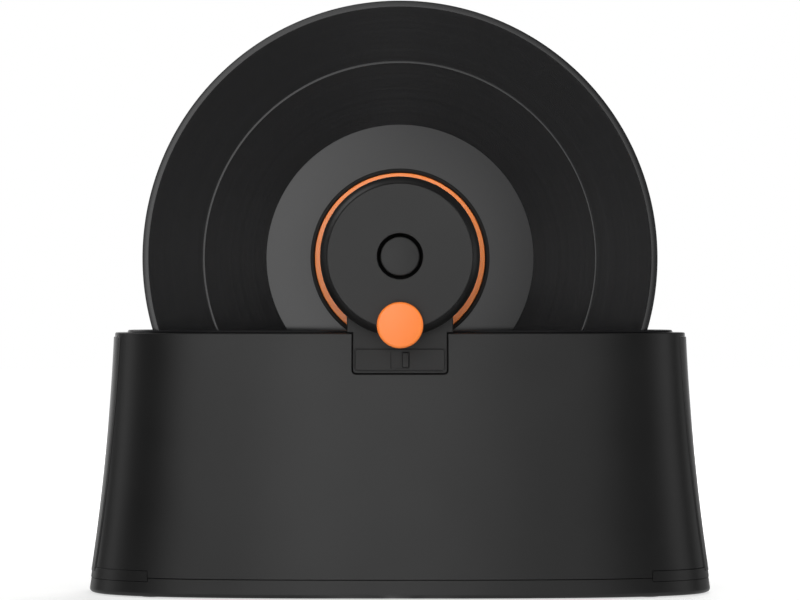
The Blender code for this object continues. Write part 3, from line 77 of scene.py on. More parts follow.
def moulded_plastic(name, colour, flow_colour, roughness, grain, relief, ior=1.53):
    """Moulded plastic: an etched mould's grain in the gloss and relief, and a faint flow mottle."""
    made, tree, place = blank_material(name)
    etched = add(tree, "ShaderNodeTexNoise", {"Vector": place, "Scale": 1 / grain, "Detail": 3.0,
                                              "Roughness": 0.6})
    flow = add(tree, "ShaderNodeTexNoise", {"Vector": place, "Scale": 1 / 0.035, "Detail": 2.0})
    tint = add(tree, "ShaderNodeMapRange", {"Value": flow, "From Min": 0.3, "From Max": 0.7})
    mixed = add(tree, "ShaderNodeMix", {"Factor": tint, "A": linear(colour), "B": linear(flow_colour)},
                data_type="RGBA")
    gloss = add(tree, "ShaderNodeMapRange", {"Value": etched, "From Min": 0.3, "From Max": 0.7,
                                             "To Min": roughness - 0.015, "To Max": roughness + 0.015})
    bump = add(tree, "ShaderNodeBump", {"Height": etched, "Strength": 1.0, "Distance": relief})
    shader = add(tree, "ShaderNodeBsdfPrincipled", {"Base Color": mixed, "Roughness": gloss,
                                                    "Normal": bump, "IOR": ior})
    add(tree, "ShaderNodeOutputMaterial", {"Surface": shader})
    return made


def show(name, mesh):
    made = bpy.data.objects.new(name, mesh)
    bpy.context.scene.collection.objects.link(made)
    return made


def apply_modifiers(piece):
    """Turn what the modifiers give into the piece's own plain mesh."""
    graph = bpy.context.evaluated_depsgraph_get()
    mesh = bpy.data.meshes.new_from_object(piece.evaluated_get(graph))
    piece.modifiers.clear()
    piece.data = mesh


def grown(name, points, tree, finish, **sizes):
    """Feed points or a mesh to a node tree and keep the plain mesh that it makes."""
    if isinstance(points, list):
        start = bpy.data.meshes.new(name)
        start.from_pydata(points, [], [])
    else:
        start = points
    piece = show(name, start)
    shape = piece.modifiers.new("shape", "NODES")
    shape.node_group = tree
    sizes["material"] = finish
    sockets = {s.name.lower().replace(" ", "_"): s.identifier
               for s in tree.interface.items_tree if s.in_out == "INPUT"}
    for label, value in sizes.items():
        shape[sockets[label]] = value
    apply_modifiers(piece)
    piece.data.materials.clear()
    piece.data.materials.append(finish)
    return piece


def sealed(piece, sharp_angle=35):
    """Merge seams and poles, turn the faces outwards and shade round sides smooth."""
    shape = bmesh.new()
    shape.from_mesh(piece.data)
    bmesh.ops.remove_doubles(shape, verts=shape.verts, dist=5e-6)
    bmesh.ops.dissolve_degenerate(shape, dist=1e-6, edges=shape.edges)
    bmesh.ops.recalc_face_normals(shape, faces=shape.faces)
    for face in shape.faces:
        face.smooth = True
    for edge in shape.edges:
        edge.smooth = len(edge.link_faces) == 2 and edge.calc_face_angle(0) < math.radians(sharp_angle)
    shape.to_mesh(piece.data)
    shape.free()
    return piece


def carved(piece, operation, *tools):
    """Cut, join or keep solids, exactly, and drop the tools."""
    for tool in tools:
        step = piece.modifiers.new(operation, "BOOLEAN")
        step.operation = operation
        step.solver = "EXACT"
        step.object = tool
        apply_modifiers(piece)
        bpy.data.objects.remove(tool)
    return piece


def even_shading(piece):
    """Let the large flat faces rule the shading beside small cut ones."""
    weigh = piece.modifiers.new("even shading", "WEIGHTED_NORMAL")
    weigh.keep_sharp = True
    weigh.weight = 80
    apply_modifiers(piece)
    return piece


def between(start, end, count):
    return [start + (end - start) * i / count for i in range(count + 1)]


def eased(points, steps=4):
    """Round off a profile's corners; a third number gives how far each rounding reaches."""
    made = []
    for i, point in enumerate(points):
        if len(point) < 3:
            made.append(tuple(point[:2]))
            continue
        corner = Vector(point[:2])
        arms = []
        for other in (points[i - 1], points[(i + 1) % len(points)]):
            arm = Vector(other[:2]) - corner
            arms.append(arm.normalized() * min(point[2], arm.length / 2))
        for t in between(0, 1, steps):
            made.append(tuple(corner + arms[0] * (1 - t) ** 2 + arms[1] * t ** 2))
    return made


def node_group(name, inputs, output, kind="GeometryNodeTree"):
    """A node group with named inputs and one output, and the sockets that its inputs give."""
    tree = bpy.data.node_groups.new(name, kind)
    for label, socket in inputs:
        tree.interface.new_socket(label, in_out="INPUT", socket_type="NodeSocket" + socket)
    label, socket = output
    tree.interface.new_socket(label, in_out="OUTPUT", socket_type="NodeSocket" + socket)
    return tree, add(tree, "NodeGroupInput").outputs


def wrapped_profile(tree, given):
    """A grid with a row for each point of the profile and a column for each step round it.

    With it come the angle of each grid point, and the two numbers of its profile point.
    """
    rows = add(tree, "GeometryNodeAttributeDomainSize", {"Geometry": given["Profile"]})
    rows = rows.outputs["Point Count"]
    columns = add(tree, "ShaderNodeMath", {0: given["Steps"], 1: 1.0}, operation="ADD")
    grid = add(tree, "GeometryNodeMeshGrid", {"Vertices X": columns, "Vertices Y": rows})
    index = add(tree, "GeometryNodeInputIndex")
    row = add(tree, "ShaderNodeMath", {0: index, 1: rows}, operation="MODULO")
    passed = add(tree, "ShaderNodeMath", {0: index, 1: rows}, operation="DIVIDE")
    column = add(tree, "ShaderNodeMath", {0: passed}, operation="FLOOR")
    step = add(tree, "ShaderNodeMath", {0: math.tau, 1: given["Steps"]}, operation="DIVIDE")
    turn = add(tree, "ShaderNodeMath", {0: column, 1: step}, operation="MULTIPLY")
    spot = add(tree, "GeometryNodeInputPosition")
    point = add(tree, "GeometryNodeSampleIndex",
                {"Geometry": given["Profile"], "Index": row, "Value": spot}, data_type="FLOAT_VECTOR")
    parts = add(tree, "ShaderNodeSeparateXYZ", {"Vector": point}).outputs
    return grid.outputs["Mesh"], turn, parts["X"], parts["Y"]


def end_group(tree, geometry, given):
    """Make copies real, give everything its material and hand it out."""
    whole = add(tree, "GeometryNodeRealizeInstances", {"Geometry": geometry})
    finished = add(tree, "GeometryNodeSetMaterial", {"Geometry": whole, "Material": given["Material"]})
    add(tree, "NodeGroupOutput", {0: finished})


def end_placed(tree, grid, x, y, z, given):
    """Move the grid's points to their places and end the tree."""
    place = add(tree, "ShaderNodeCombineXYZ", {"X": x, "Y": y, "Z": z})
    end_group(tree, add(tree, "GeometryNodeSetPosition", {"Geometry": grid, "Position": place}), given)


# The rule of the oval: a profile of (inset from the face, height) goes round a
# superellipse whose half length and half depth grow from the rim down to the floor.
oval, given = node_group("oval shell", (
    ("Profile", "Geometry"), ("Steps", "Int"), ("Sharpness", "Float"), ("Rim Height", "Float"),
    ("Rim Half Length", "Float"), ("Rim Half Depth", "Float"), ("Straight Flare Length", "Float"),
    ("Curved Flare Length", "Float"), ("Straight Flare Depth", "Float"),
    ("Curved Flare Depth", "Float"), ("Material", "Material")), ("Shell", "Geometry"))
grid, turn, inset, height = wrapped_profile(oval, given)
below = add(oval, "ShaderNodeMath", {0: given["Rim Height"], 1: height}, operation="SUBTRACT")
drop = add(oval, "ShaderNodeMath", {0: below, 1: 0.0}, operation="MAXIMUM")
share = add(oval, "ShaderNodeMath", {0: drop, 1: given["Rim Height"]}, operation="DIVIDE")
squared = add(oval, "ShaderNodeMath", {0: share, 1: share}, operation="MULTIPLY")
power = add(oval, "ShaderNodeMath", {0: 2.0, 1: given["Sharpness"]}, operation="DIVIDE")
sides = []
for wave, size in (("COSINE", "Length"), ("SINE", "Depth")):
    swing = add(oval, "ShaderNodeMath", {0: turn}, operation=wave)
    strength = add(oval, "ShaderNodeMath", {0: swing}, operation="ABSOLUTE")
    reach = add(oval, "ShaderNodeMath", {0: strength, 1: power}, operation="POWER")
    sign = add(oval, "ShaderNodeMath", {0: swing}, operation="SIGN")
    signed = add(oval, "ShaderNodeMath", {0: sign, 1: reach}, operation="MULTIPLY")
    straight = add(oval, "ShaderNodeMath", {
        0: share, 1: given["Straight Flare " + size], 2: given["Rim Half " + size]},
        operation="MULTIPLY_ADD")
    flared = add(oval, "ShaderNodeMath", {
        0: squared, 1: given["Curved Flare " + size], 2: straight}, operation="MULTIPLY_ADD")
    inner = add(oval, "ShaderNodeMath", {0: flared, 1: inset}, operation="SUBTRACT")
    sides.append(add(oval, "ShaderNodeMath", {0: signed, 1: inner}, operation="MULTIPLY"))
end_placed(oval, grid, sides[0], sides[1], height, given)


def oval_shell(name, profile, finish, sizes):
    """The solid that a profile makes on its way round the oval."""
    return sealed(grown(name, [(inset, z, 0) for inset, z in profile], oval, finish, **sizes))

rim_height = 0.1514
rim_half_length, rim_half_depth = 0.1663, 0.0520
flare_length, curved_flare_length = 0.0068, 0.00825
flare_depth, curved_flare_depth = 0.0045, 0.0055
sharpness = 3.0
wall, gap = 0.0030, 0.0003
ledge_width, ledge_thickness = 0.0100, 0.0028
seam_height = 0.0117
notch_half_width, notch_bottom, notch_corner = 0.0273, 0.1281, 0.0023
bracket_back = 0.0455
overrun = 0.002  # how far a cutting tool runs past what it cuts
post_places = [(x, y) for x in (-0.1180, 0.1180) for y in (-0.0430, 0.0430)]
casing_oval = dict(steps=240, sharpness=sharpness, rim_height=rim_height,
                   rim_half_length=rim_half_length, rim_half_depth=rim_half_depth,
                   straight_flare_length=flare_length, curved_flare_length=curved_flare_length,
                   straight_flare_depth=flare_depth, curved_flare_depth=curved_flare_depth)


def face_depth(x, z):
    """How far the casing's face stands from the record's plane at a point."""
    fall = max(0, rim_height - z) / rim_height
    length = rim_half_length + flare_length * fall + curved_flare_length * fall ** 2
    depth = rim_half_depth + flare_depth * fall + curved_flare_depth * fall ** 2
    return depth * (1 - min(1, abs(x) / length) ** sharpness) ** (1 / sharpness)


def arc(x, z, radius, start, end, steps):
    return [(x + radius * math.cos(math.radians(a)), z + radius * math.sin(math.radians(a)))
            for a in between(start, end, steps)]


def loft(name, rings, finish=None):
    """A closed solid through rings of as many points each, capped at both ends."""
    shape = bmesh.new()
    loops = [[shape.verts.new(p) for p in ring] for ring in rings]
    for low, high in zip(loops, loops[1:]):
        for i in range(len(low)):
            j = (i + 1) % len(low)
            shape.faces.new((low[i], low[j], high[j], high[i]))
    shape.faces.new(loops[0])
    shape.faces.new(loops[-1])
    mesh = bpy.data.meshes.new(name)
    shape.to_mesh(mesh)
    shape.free()
    if finish:
        mesh.materials.append(finish)
    return sealed(show(name, mesh))


def block(name, low, high, ease=0.0, finish=None):
    """A solid between two corners, its edges rounded by a small reach."""
    mesh = bpy.data.meshes.new(name)
    shape = bmesh.new()
    bmesh.ops.create_cube(shape, size=1)
    for vert in shape.verts:
        vert.co = [low[k] + (high[k] - low[k]) * (vert.co[k] + 0.5) for k in range(3)]
    if ease:
        bmesh.ops.bevel(shape, geom=shape.edges[:], offset=ease, segments=3, profile=0.6,
                        affect="EDGES")
    shape.to_mesh(mesh)
    shape.free()
    if finish:
        mesh.materials.append(finish)
    return sealed(show(name, mesh))


def inset_outline(outline, distance):
    """The same outline drawn in by a distance, for an eased edge."""
    made = []
    for i, point in enumerate(outline):
        before, here = Vector(outline[i - 1]), Vector(point)
        after = Vector(outline[(i + 1) % len(outline)])
        first, second = (here - before).normalized(), (after - here).normalized()
        normal = Vector((-first.y - second.y, first.x + second.x))
        cosine = max(0.35, (1 + first.dot(second)) / 2) ** 0.5
        made.append(tuple(here + normal.normalized() * distance / cosine))
    return made


def plate(name, outline, front, back, ease=0.0, finish=None):
    """An upright plate, its outline anticlockwise in XZ, with an eased front edge."""
    def ring(points, rule, behind=0.0):
        return [(x, -((rule(x, z) if callable(rule) else rule) - behind), z) for x, z in points]
    rings = []
    if ease:
        for share in (1.0, 0.55, 0.22, 0.0):
            rings.append(ring(inset_outline(outline, ease * share), front, ease * (1 - share) ** 2))
    else:
        rings.append(ring(outline, front))
    return loft(name, rings + [ring(outline, back)], finish)


def notch_outline(shrink, top, corner_steps=10):
    corner = notch_corner - shrink
    left, right, bottom = -notch_half_width + shrink, notch_half_width - shrink, notch_bottom + shrink
    points = arc(left + corner, bottom + corner, corner, 180, 270, corner_steps)
    points += arc(right - corner, bottom + corner, corner, 270, 360, corner_steps)
    return points + [(right, top), (left, top)]


def turned_about(piece):
    """Turn a piece half a turn about the upright axis, to the rear side."""
    for vert in piece.data.vertices:
        vert.co.x, vert.co.y = -vert.co.x, -vert.co.y
    return piece


# Black ABS from a spark-eroded mould: matt, with a grain of about 0.4 mm, drawn at
# 0.7 mm so that it shows. It gives soft broad highlights over a near black.
casing_abs = moulded_plastic("spark_eroded_black_abs", "#1a1a1a", "#1d1d1d", 0.30, 0.0007, 0.000004)

rim_round, ledge_round = 0.0007, 0.0006
outer = [(0.0, z) for z in between(seam_height, rim_height - rim_round, 14)]
outer += [(rim_round * (1 - math.cos(a)), rim_height - rim_round * (1 - math.sin(a)))
          for a in between(0, math.pi / 2, 6)[1:]]
ledge_under = rim_height - ledge_thickness
inside = [(ledge_width, rim_height, ledge_round), (ledge_width, ledge_under, ledge_round)]
inside += [(wall, z) for z in between(ledge_under, seam_height, 10)]
profile = eased(outer + inside)
profile += profile[:1]
casing = oval_shell("outer_shell", profile, casing_abs, casing_oval)
pocket_wall, notch_edge, notch_back = 0.0025, 0.0005, 0.0395
for is_rear in (False, True):
    pocket_half = notch_half_width + pocket_wall
    front = face_depth(pocket_half, rim_height) - wall / 2
    pocket = block("pocket", (-pocket_half, -front, notch_bottom - pocket_wall),
                   (pocket_half, -bracket_back, rim_height - ledge_thickness / 2))
    rings = []
    for spread, depth in ((notch_edge, overrun), (notch_edge, 0.0), (0.0, -notch_edge), (0.0, None)):
        points = notch_outline(-spread, rim_height + overrun)
        rings.append([(x, -(notch_back if depth is None else face_depth(x, z) + depth), z)
                      for x, z in points])
    opening = loft("opening", rings)
    if is_rear:
        sealed(turned_about(pocket))
        sealed(turned_about(opening))
    carved(casing, "UNION", pocket)
    carved(casing, "DIFFERENCE", opening)
bolt_pocket = ((-0.0332, -0.0508, 0.1333), (-0.0256, -0.0478, 0.1379))
carved(casing, "DIFFERENCE", block("bolt pocket", *bolt_pocket))


# --- End panels ---
# A thin black ABS cover on each end of the casing: an upright strip that stands a
# little proud, over a wide band along the foot. It snaps into a seat in the shell.
panel_top, band_top, band_bottom, band_start = 0.1490, 0.0155, 0.0096, 0.1445
strip_half, strip_proud, strip_sunk = 0.0220, 0.00063, 0.0012
band_half, band_proud, band_sunk = 0.0640, 0.00030, 0.0009
panel_round, past_end = 0.0004, 0.190


def panel_part(side, half_width, start, low, high, proud, sunk, growth):
    """A length of thin shell that follows the casing's face, cut off by upright planes.

    With growth it is the tool that cuts the seat: larger all round, and stepped
    otherwise, so that none of its faces falls on a face of the casing.
    """
    out = proud + (overrun if growth else 0)
    heights = between(low - (growth and overrun), high + growth, 12)
    profile = [(-out, z) for z in heights[:-1]] + [(-out, heights[-1], panel_round)]
    profile += [(sunk + growth, z) for z in reversed(heights)]
    profile = [point[:2] for point in profile] if growth else eased(profile)
    shape = dict(casing_oval, steps=232) if growth else casing_oval
    shell = oval_shell("panel", profile + profile[:1], panel_abs, shape)
    x = sorted((side * (start - growth), side * past_end))
    return carved(shell, "INTERSECT", block("window", (x[0], -half_width - growth, -0.01),
                                            (x[1], half_width + growth, 0.2)))


# The same black ABS, from a more finely etched part of the mould: a closer grain.
panel_abs = moulded_plastic("fine_etched_black_abs", "#1a1a1a", "#1d1d1d", 0.30, 0.0006, 0.000004)
for side_name, side in (("left", -1), ("right", 1)):
    strip = (strip_half, band_start, band_top - 0.002, panel_top, strip_proud, strip_sunk)
    band = (band_half, band_start, band_bottom, band_top, band_proud, band_sunk)
    for size in (strip, band):
        carved(casing, "DIFFERENCE", panel_part(side, *size, gap))
    panel = panel_part(side, *strip, 0)
    carved(panel, "UNION", panel_part(side, *band, 0))
    even_shading(sealed(panel))
    panel.name = f"end_cover_{side_name}"
    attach(panel, "base_unit")
    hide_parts(f"end_panel_{side_name}")


# --- Screw posts and base pan ---
# The pan is a second ABS moulding that closes the shell from below, with a rounded
# bottom edge. Four screws go up through it into posts that a rib ties to the wall.
lathe, given = node_group("turned piece", (
    ("Profile", "Geometry"), ("Steps", "Int"), ("Material", "Material")), ("Solid", "Geometry"))
grid, turn, radius, height = wrapped_profile(lathe, given)
sides = []
for wave in ("COSINE", "SINE"):
    swing = add(lathe, "ShaderNodeMath", {0: turn}, operation=wave)
    sides.append(add(lathe, "ShaderNodeMath", {0: radius, 1: swing}, operation="MULTIPLY"))
end_placed(lathe, grid, sides[0], sides[1], height, given)


def turned(name, profile, finish=None, steps=96, facing="up", place=(0, 0, 0), sharp_angle=35):
    """Turn a profile of (radius, height) about an axis; heights run up, forwards, rearwards or right."""
    if profile[0][0] > 0:
        profile = profile + profile[:1]
    piece = grown(name, [(r, h, 0) for r, h in profile], lathe, finish, steps=steps)
    for vert in piece.data.vertices:
        x, y, z = vert.co
        spot = {"up": (x, y, z), "front": (x, -z, y), "rear": (-x, z, y), "right": (z, y, -x)}[facing]
        vert.co = [spot[k] + place[k] for k in range(3)]
    return sealed(piece, sharp_angle)


def drill(name, radius, low, high, **where):
    """A plain round solid, to cut or to join."""
    return turned(name, [(0, low), (radius, low), (radius, high), (0, high)], **where)


def half_depth(z):
    return face_depth(0, z)


pan_low, pan_floor, lip_top, lip_wall = 0.0008, 0.0030, 0.0160, 0.0018
pan_round_run, pan_round_rise = 0.0034, 0.0026
pan_inside = pan_low + pan_floor
foot_places = [(x, y) for x in (-0.1420, 0.1420) for y in (-0.0330, 0.0330)]
post_radius, post_top, rib_half, rib_top = 0.0045, 0.0340, 0.0015, 0.0320
thread_room, thread_top = 0.0018, 0.0181
for x, y in post_places:
    post = turned("post", eased([(0, pan_inside + gap), (post_radius, pan_inside + gap),
                                 (post_radius, post_top, 0.0008), (0, post_top)]),
                  place=(x, y, 0), steps=48)
    reach = math.copysign(face_depth(x, post_top) - wall / 2, y)
    rib = block("rib", (x - rib_half, min(y, reach), lip_top + gap),
                (x + rib_half, max(y, reach), rib_top), 0.0004)
    carved(casing, "UNION", post, rib)
    carved(casing, "DIFFERENCE", drill("bore", thread_room, 0.0, thread_top, place=(x, y, 0), steps=32))
even_shading(sealed(casing, 30))
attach(casing, "base_unit")
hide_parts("casing")

profile = [(half_depth(pan_low), pan_low)]
profile += [(pan_round_run * (1 - math.sin(a)), pan_low + pan_round_rise * (1 - math.cos(a)) ** 1.35)
            for a in between(0, math.pi / 2, 12)]
pan_top, inner_face = seam_height - gap, wall + gap
profile += [(0, pan_top, 0.0004), (inner_face, pan_top), (inner_face, lip_top, 0.0004),
            (inner_face + lip_wall, lip_top, 0.0004), (inner_face + lip_wall, pan_inside, 0.0010),
            (half_depth(pan_inside), pan_inside)]
profile = eased(profile)
pan = oval_shell("bottom_pan", profile, casing_abs, casing_oval)
relief_top, relief_depth = 0.0137, wall + gap / 2
for side in (-1, 1):
    relief = [(-overrun, band_bottom - gap), (-overrun, relief_top), (relief_depth, relief_top),
              (relief_depth, band_bottom - gap), (-overrun, band_bottom - gap)]
    edge = oval_shell("relief", relief, casing_abs, casing_oval)
    x = sorted((side * (band_start - gap), side * past_end))
    carved(edge, "INTERSECT", block("window", (x[0], -0.08, -0.01), (x[1], 0.08, 0.1)))
    carved(pan, "DIFFERENCE", edge)
seat_radius, seat_low, seat_top = 0.0090, 0.0023, 0.0052
pit_radius, pit_top = 0.0078, 0.0025
for x, y in foot_places:
    carved(pan, "UNION", drill("seat", seat_radius, seat_low, seat_top, place=(x, y, 0), steps=64))
    carved(pan, "DIFFERENCE", drill("seat", pit_radius, -overrun, pit_top, place=(x, y, 0), steps=64))
sink_radius, sink_low, sink_top = 0.0034, 0.0011, 0.0030
sink = [(0, -0.001), (sink_radius, -0.001), (sink_radius, sink_low), (thread_room, sink_top),
        (thread_room, 0.006), (0, 0.006)]
for x, y in post_places:
    carved(pan, "DIFFERENCE", turned("hole", sink, place=(x, y, 0), steps=48))
rest_radius = 0.0120
carved(pan, "UNION", turned("rest", eased([(0, 0), (rest_radius, 0, 0.0003), (rest_radius, seat_low),
                                           (0, seat_low)]), steps=96))
even_shading(sealed(pan, 30))
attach(pan, "base_unit")
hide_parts("base_pan")


# --- Feet and base screws ---
# Four round feet of black silicone rubber are pressed into seats under the pan, and
# four countersunk steel screws with a cross recess hold the pan to the posts.
repeat, given = node_group("same piece at each place", (
    ("Places", "Geometry"), ("Shape", "Object"), ("Material", "Material")), ("Pieces", "Geometry"))
shape = add(repeat, "GeometryNodeObjectInfo", {"Object": given["Shape"]}).outputs["Geometry"]
end_group(repeat, add(repeat, "GeometryNodeInstanceOnPoints", {
    "Points": given["Places"], "Instance": shape}), given)


def machined_steel(name, colour, roughness, pitch):
    """Turned stainless steel: fine lathe lines round the axis, with a satin shine between them."""
    made, tree, place = blank_material(name)
    lines = add(tree, "ShaderNodeTexWave", {"Vector": place, "Scale": 1 / (pitch * 20),
                                            "Distortion": 1.5, "Detail": 2.0}, bands_direction="Y")
    cloud = add(tree, "ShaderNodeTexNoise", {"Vector": place, "Scale": 1 / 0.004, "Detail": 3.0})
    gloss = add(tree, "ShaderNodeMapRange", {"Value": lines, "To Min": roughness - 0.05,
                                             "To Max": roughness + 0.07})
    tint = add(tree, "ShaderNodeMix", {"Factor": cloud, "A": linear(colour), "B": linear("#a9a9ab")},
               data_type="RGBA")
    bump = add(tree, "ShaderNodeBump", {"Height": lines, "Strength": 0.12, "Distance": 0.00001})
    shader = add(tree, "ShaderNodeBsdfPrincipled", {"Base Color": tint, "Roughness": gloss,
                                                    "Normal": bump, "Metallic": 1.0})
    add(tree, "ShaderNodeOutputMaterial", {"Surface": shader})
    return made


# Silicone rubber, matt with a soft sheen at the edges, and stainless steel screws.
silicone = moulded_plastic("moulded_black_silicone", "#1a1a1a", "#1f1f1f", 0.55, 0.0009, 0.00001, 1.41)
steel = machined_steel("turned_stainless_steel", "#c9c9cb", 0.36, 0.0004)
foot_radius, foot_height = 0.0075, 0.0022
foot = turned("foot", eased([(0, 0), (foot_radius, 0, 0.0005), (foot_radius, foot_height, 0.0002),
                             (0, foot_height)]), steps=64)
feet = sealed(grown("rubber_feet", [(x, y, 0) for x, y in foot_places], repeat, silicone, shape=foot))
bpy.data.objects.remove(foot)
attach(feet, "base_unit")
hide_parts(*[f"foot_{a}_{b}" for a in ("front", "rear") for b in ("left", "right")])

head_radius, head_low, head_flat = 0.0031, 0.0011, 0.0014
shank_radius, shank_low, tip_radius, tip_low, tip_top = 0.0015, 0.0029, 0.0009, 0.0169, 0.0175
screw = turned("screw", eased([(0, head_low), (head_radius, head_low, 0.0002), (head_radius, head_flat),
                               (shank_radius, shank_low, 0.0003), (shank_radius, tip_low),
                               (tip_radius, tip_top), (0, tip_top)]), steps=40)
cross_length, cross_width, cross_top = 0.0016, 0.0003, 0.0022
for half_x, half_y in ((cross_length, cross_width), (cross_width, cross_length)):
    carved(screw, "DIFFERENCE", block("recess", (-half_x, -half_y, 0.0), (half_x, half_y, cross_top)))
screws = sealed(grown("pan_screws", [(x, y, 0) for x, y in post_places], repeat, steel, shape=screw))
bpy.data.objects.remove(screw)
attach(screws, "base_unit")
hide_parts(*[f"base_screw_{a}_{b}" for a in ("front", "rear") for b in ("left", "right")])


# --- Wash tank ---
# The basin for the washing fluid is one moulding in glossy black polypropylene. Its
# rim turns out over the ledge, and two sockets on its floor take the brush bars.
tank_floor, tank_under, shoulder = 0.0302, 0.0280, 0.1380
tank_lip_top, lip_inset, tank_wall = 0.1529, 0.0070, 0.0022
neck_length, neck_depth, taper_length, taper_depth = 0.1557, 0.0414, 0.0257, 0.0049
tank_oval = dict(casing_oval, rim_height=shoulder, rim_half_length=neck_length,
                 rim_half_depth=neck_depth, curved_flare_length=0.0, curved_flare_depth=0.0,
                 straight_flare_length=-taper_length * shoulder / (shoulder - tank_under),
                 straight_flare_depth=-taper_depth * shoulder / (shoulder - tank_under))


def tank_half_depth(z):
    return neck_depth - taper_depth * (shoulder - z) / (shoulder - tank_under)


lip_out = neck_depth - (rim_half_depth - lip_inset)
lip_slope, lip_lean = 0.0003, 0.0007
floor_round = 0.0060
profile = [(tank_half_depth(tank_under), tank_under)]
profile += [(floor_round * (1 - math.sin(a)), tank_under + floor_round * (1 - math.cos(a)))
            for a in between(0, math.pi / 2, 8)]
profile += eased([(0, shoulder), (0, rim_height + gap, 0.0004), (lip_out, rim_height + gap, 0.0001),
                  (lip_out + lip_lean, tank_lip_top, 0.0002),
                  (tank_wall, tank_lip_top - lip_slope, 0.0009), (tank_wall, shoulder)])
profile += [(tank_wall + (floor_round - tank_wall) * (1 - math.sin(a)),
             tank_floor + (floor_round - tank_wall) * (1 - math.cos(a)))
            for a in between(math.pi / 2, 0, 8)]
profile += [(tank_half_depth(tank_floor), tank_floor)]
# Polypropylene from a polished mould: black and glossy, with faint flow lines.
tank_pp = moulded_plastic("polished_black_polypropylene", "#171718", "#1a1a1b", 0.24, 0.0030,
                          0.000012, 1.49)
tank = oval_shell("wash_basin", profile, tank_pp, tank_oval)
bar_back, bar_front, bar_half = 0.0049, 0.0089, 0.0080
socket_wall, socket_sunk, socket_height = 0.002, 0.001, 0.008
for side in (-1, 1):
    near, far = sorted((side * (bar_back - socket_wall), side * (bar_front + socket_wall)))
    carved(tank, "UNION", block("socket", (-bar_half - socket_wall, near, tank_floor - socket_sunk),
                                (bar_half + socket_wall, far, tank_floor + socket_height), 0.0005))
    near, far = sorted((side * (bar_back - gap), side * (bar_front + gap)))
    carved(tank, "DIFFERENCE", block("mouth", (-bar_half - gap, near, tank_floor + gap),
                                     (bar_half + gap, far, tank_floor + 0.010)))
even_shading(sealed(tank, 40))
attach(tank, "tank_unit")
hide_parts("wash_tank")


# --- Brush bars and pads ---
# Two black bars stand in the tank's sockets, and each carries a flocked pad whose
# short nylon pile wipes one face of the record as it turns.
pile_tree, given = node_group("short pile", (
    ("Backing", "Geometry"), ("Fibres Per Square Metre", "Float"), ("Fibre Length", "Float"),
    ("Fibre Radius", "Float"), ("Lean Low", "Vector"), ("Lean High", "Vector"), ("Seed", "Int"),
    ("Material", "Material")), ("Pad", "Geometry"))
towards = add(pile_tree, "ShaderNodeVectorMath", {0: add(pile_tree, "GeometryNodeInputNormal"),
                                                  1: (0, -1, 0)}, operation="DOT_PRODUCT")
is_face = add(pile_tree, "FunctionNodeCompare", {"A": towards.outputs["Value"], "B": 0.9},
              operation="GREATER_THAN")
roots = add(pile_tree, "GeometryNodeDistributePointsOnFaces",
            {"Mesh": given["Backing"], "Selection": is_face, "Density": given["Fibres Per Square Metre"],
             "Seed": given["Seed"]})
fibre = add(pile_tree, "GeometryNodeMeshCone", {
    "Vertices": 4, "Radius Top": 0.00004, "Radius Bottom": given["Fibre Radius"],
    "Depth": given["Fibre Length"]})
lean = add(pile_tree, "FunctionNodeRandomValue", {"Min": given["Lean Low"], "Max": given["Lean High"],
                                                  "Seed": given["Seed"]}, data_type="FLOAT_VECTOR")
fibres = add(pile_tree, "GeometryNodeInstanceOnPoints",
             {"Points": roots.outputs["Points"], "Instance": fibre.outputs["Mesh"], "Rotation": lean})
both = add(pile_tree, "GeometryNodeJoinGeometry")
for part in (given["Backing"], fibres.outputs[0]):
    pile_tree.links.new(part, both.inputs[0])
end_group(pile_tree, both, given)


def rounded_outline(left, right, bottom, top, corner, steps=8):
    points = []
    for x, z, start in ((right - corner, bottom + corner, -90), (right - corner, top - corner, 0),
                        (left + corner, top - corner, 90), (left + corner, bottom + corner, 180)):
        points += arc(x, z, corner, start, start + 90, steps)
    return points


def flocked_pile(name, colour, tip_colour):
    """Flocked nylon pile: matt, paler at the tips in small clumps, with a soft sheen at the edges."""
    made, tree, place = blank_material(name)
    clumps = add(tree, "ShaderNodeTexNoise", {"Vector": place, "Scale": 1 / 0.0012, "Detail": 3.0})
    tint = add(tree, "ShaderNodeMapRange", {"Value": clumps, "From Min": 0.35, "From Max": 0.65})
    mixed = add(tree, "ShaderNodeMix", {"Factor": tint, "A": linear(colour), "B": linear(tip_colour)},
                data_type="RGBA")
    bump = add(tree, "ShaderNodeBump", {"Height": clumps, "Strength": 0.5, "Distance": 0.0001})
    shader = add(tree, "ShaderNodeBsdfPrincipled", {
        "Base Color": mixed, "Roughness": 0.9, "Normal": bump, "Sheen Weight": 0.4,
        "Sheen Roughness": 0.4})
    add(tree, "ShaderNodeOutputMaterial", {"Surface": shader})
    return made


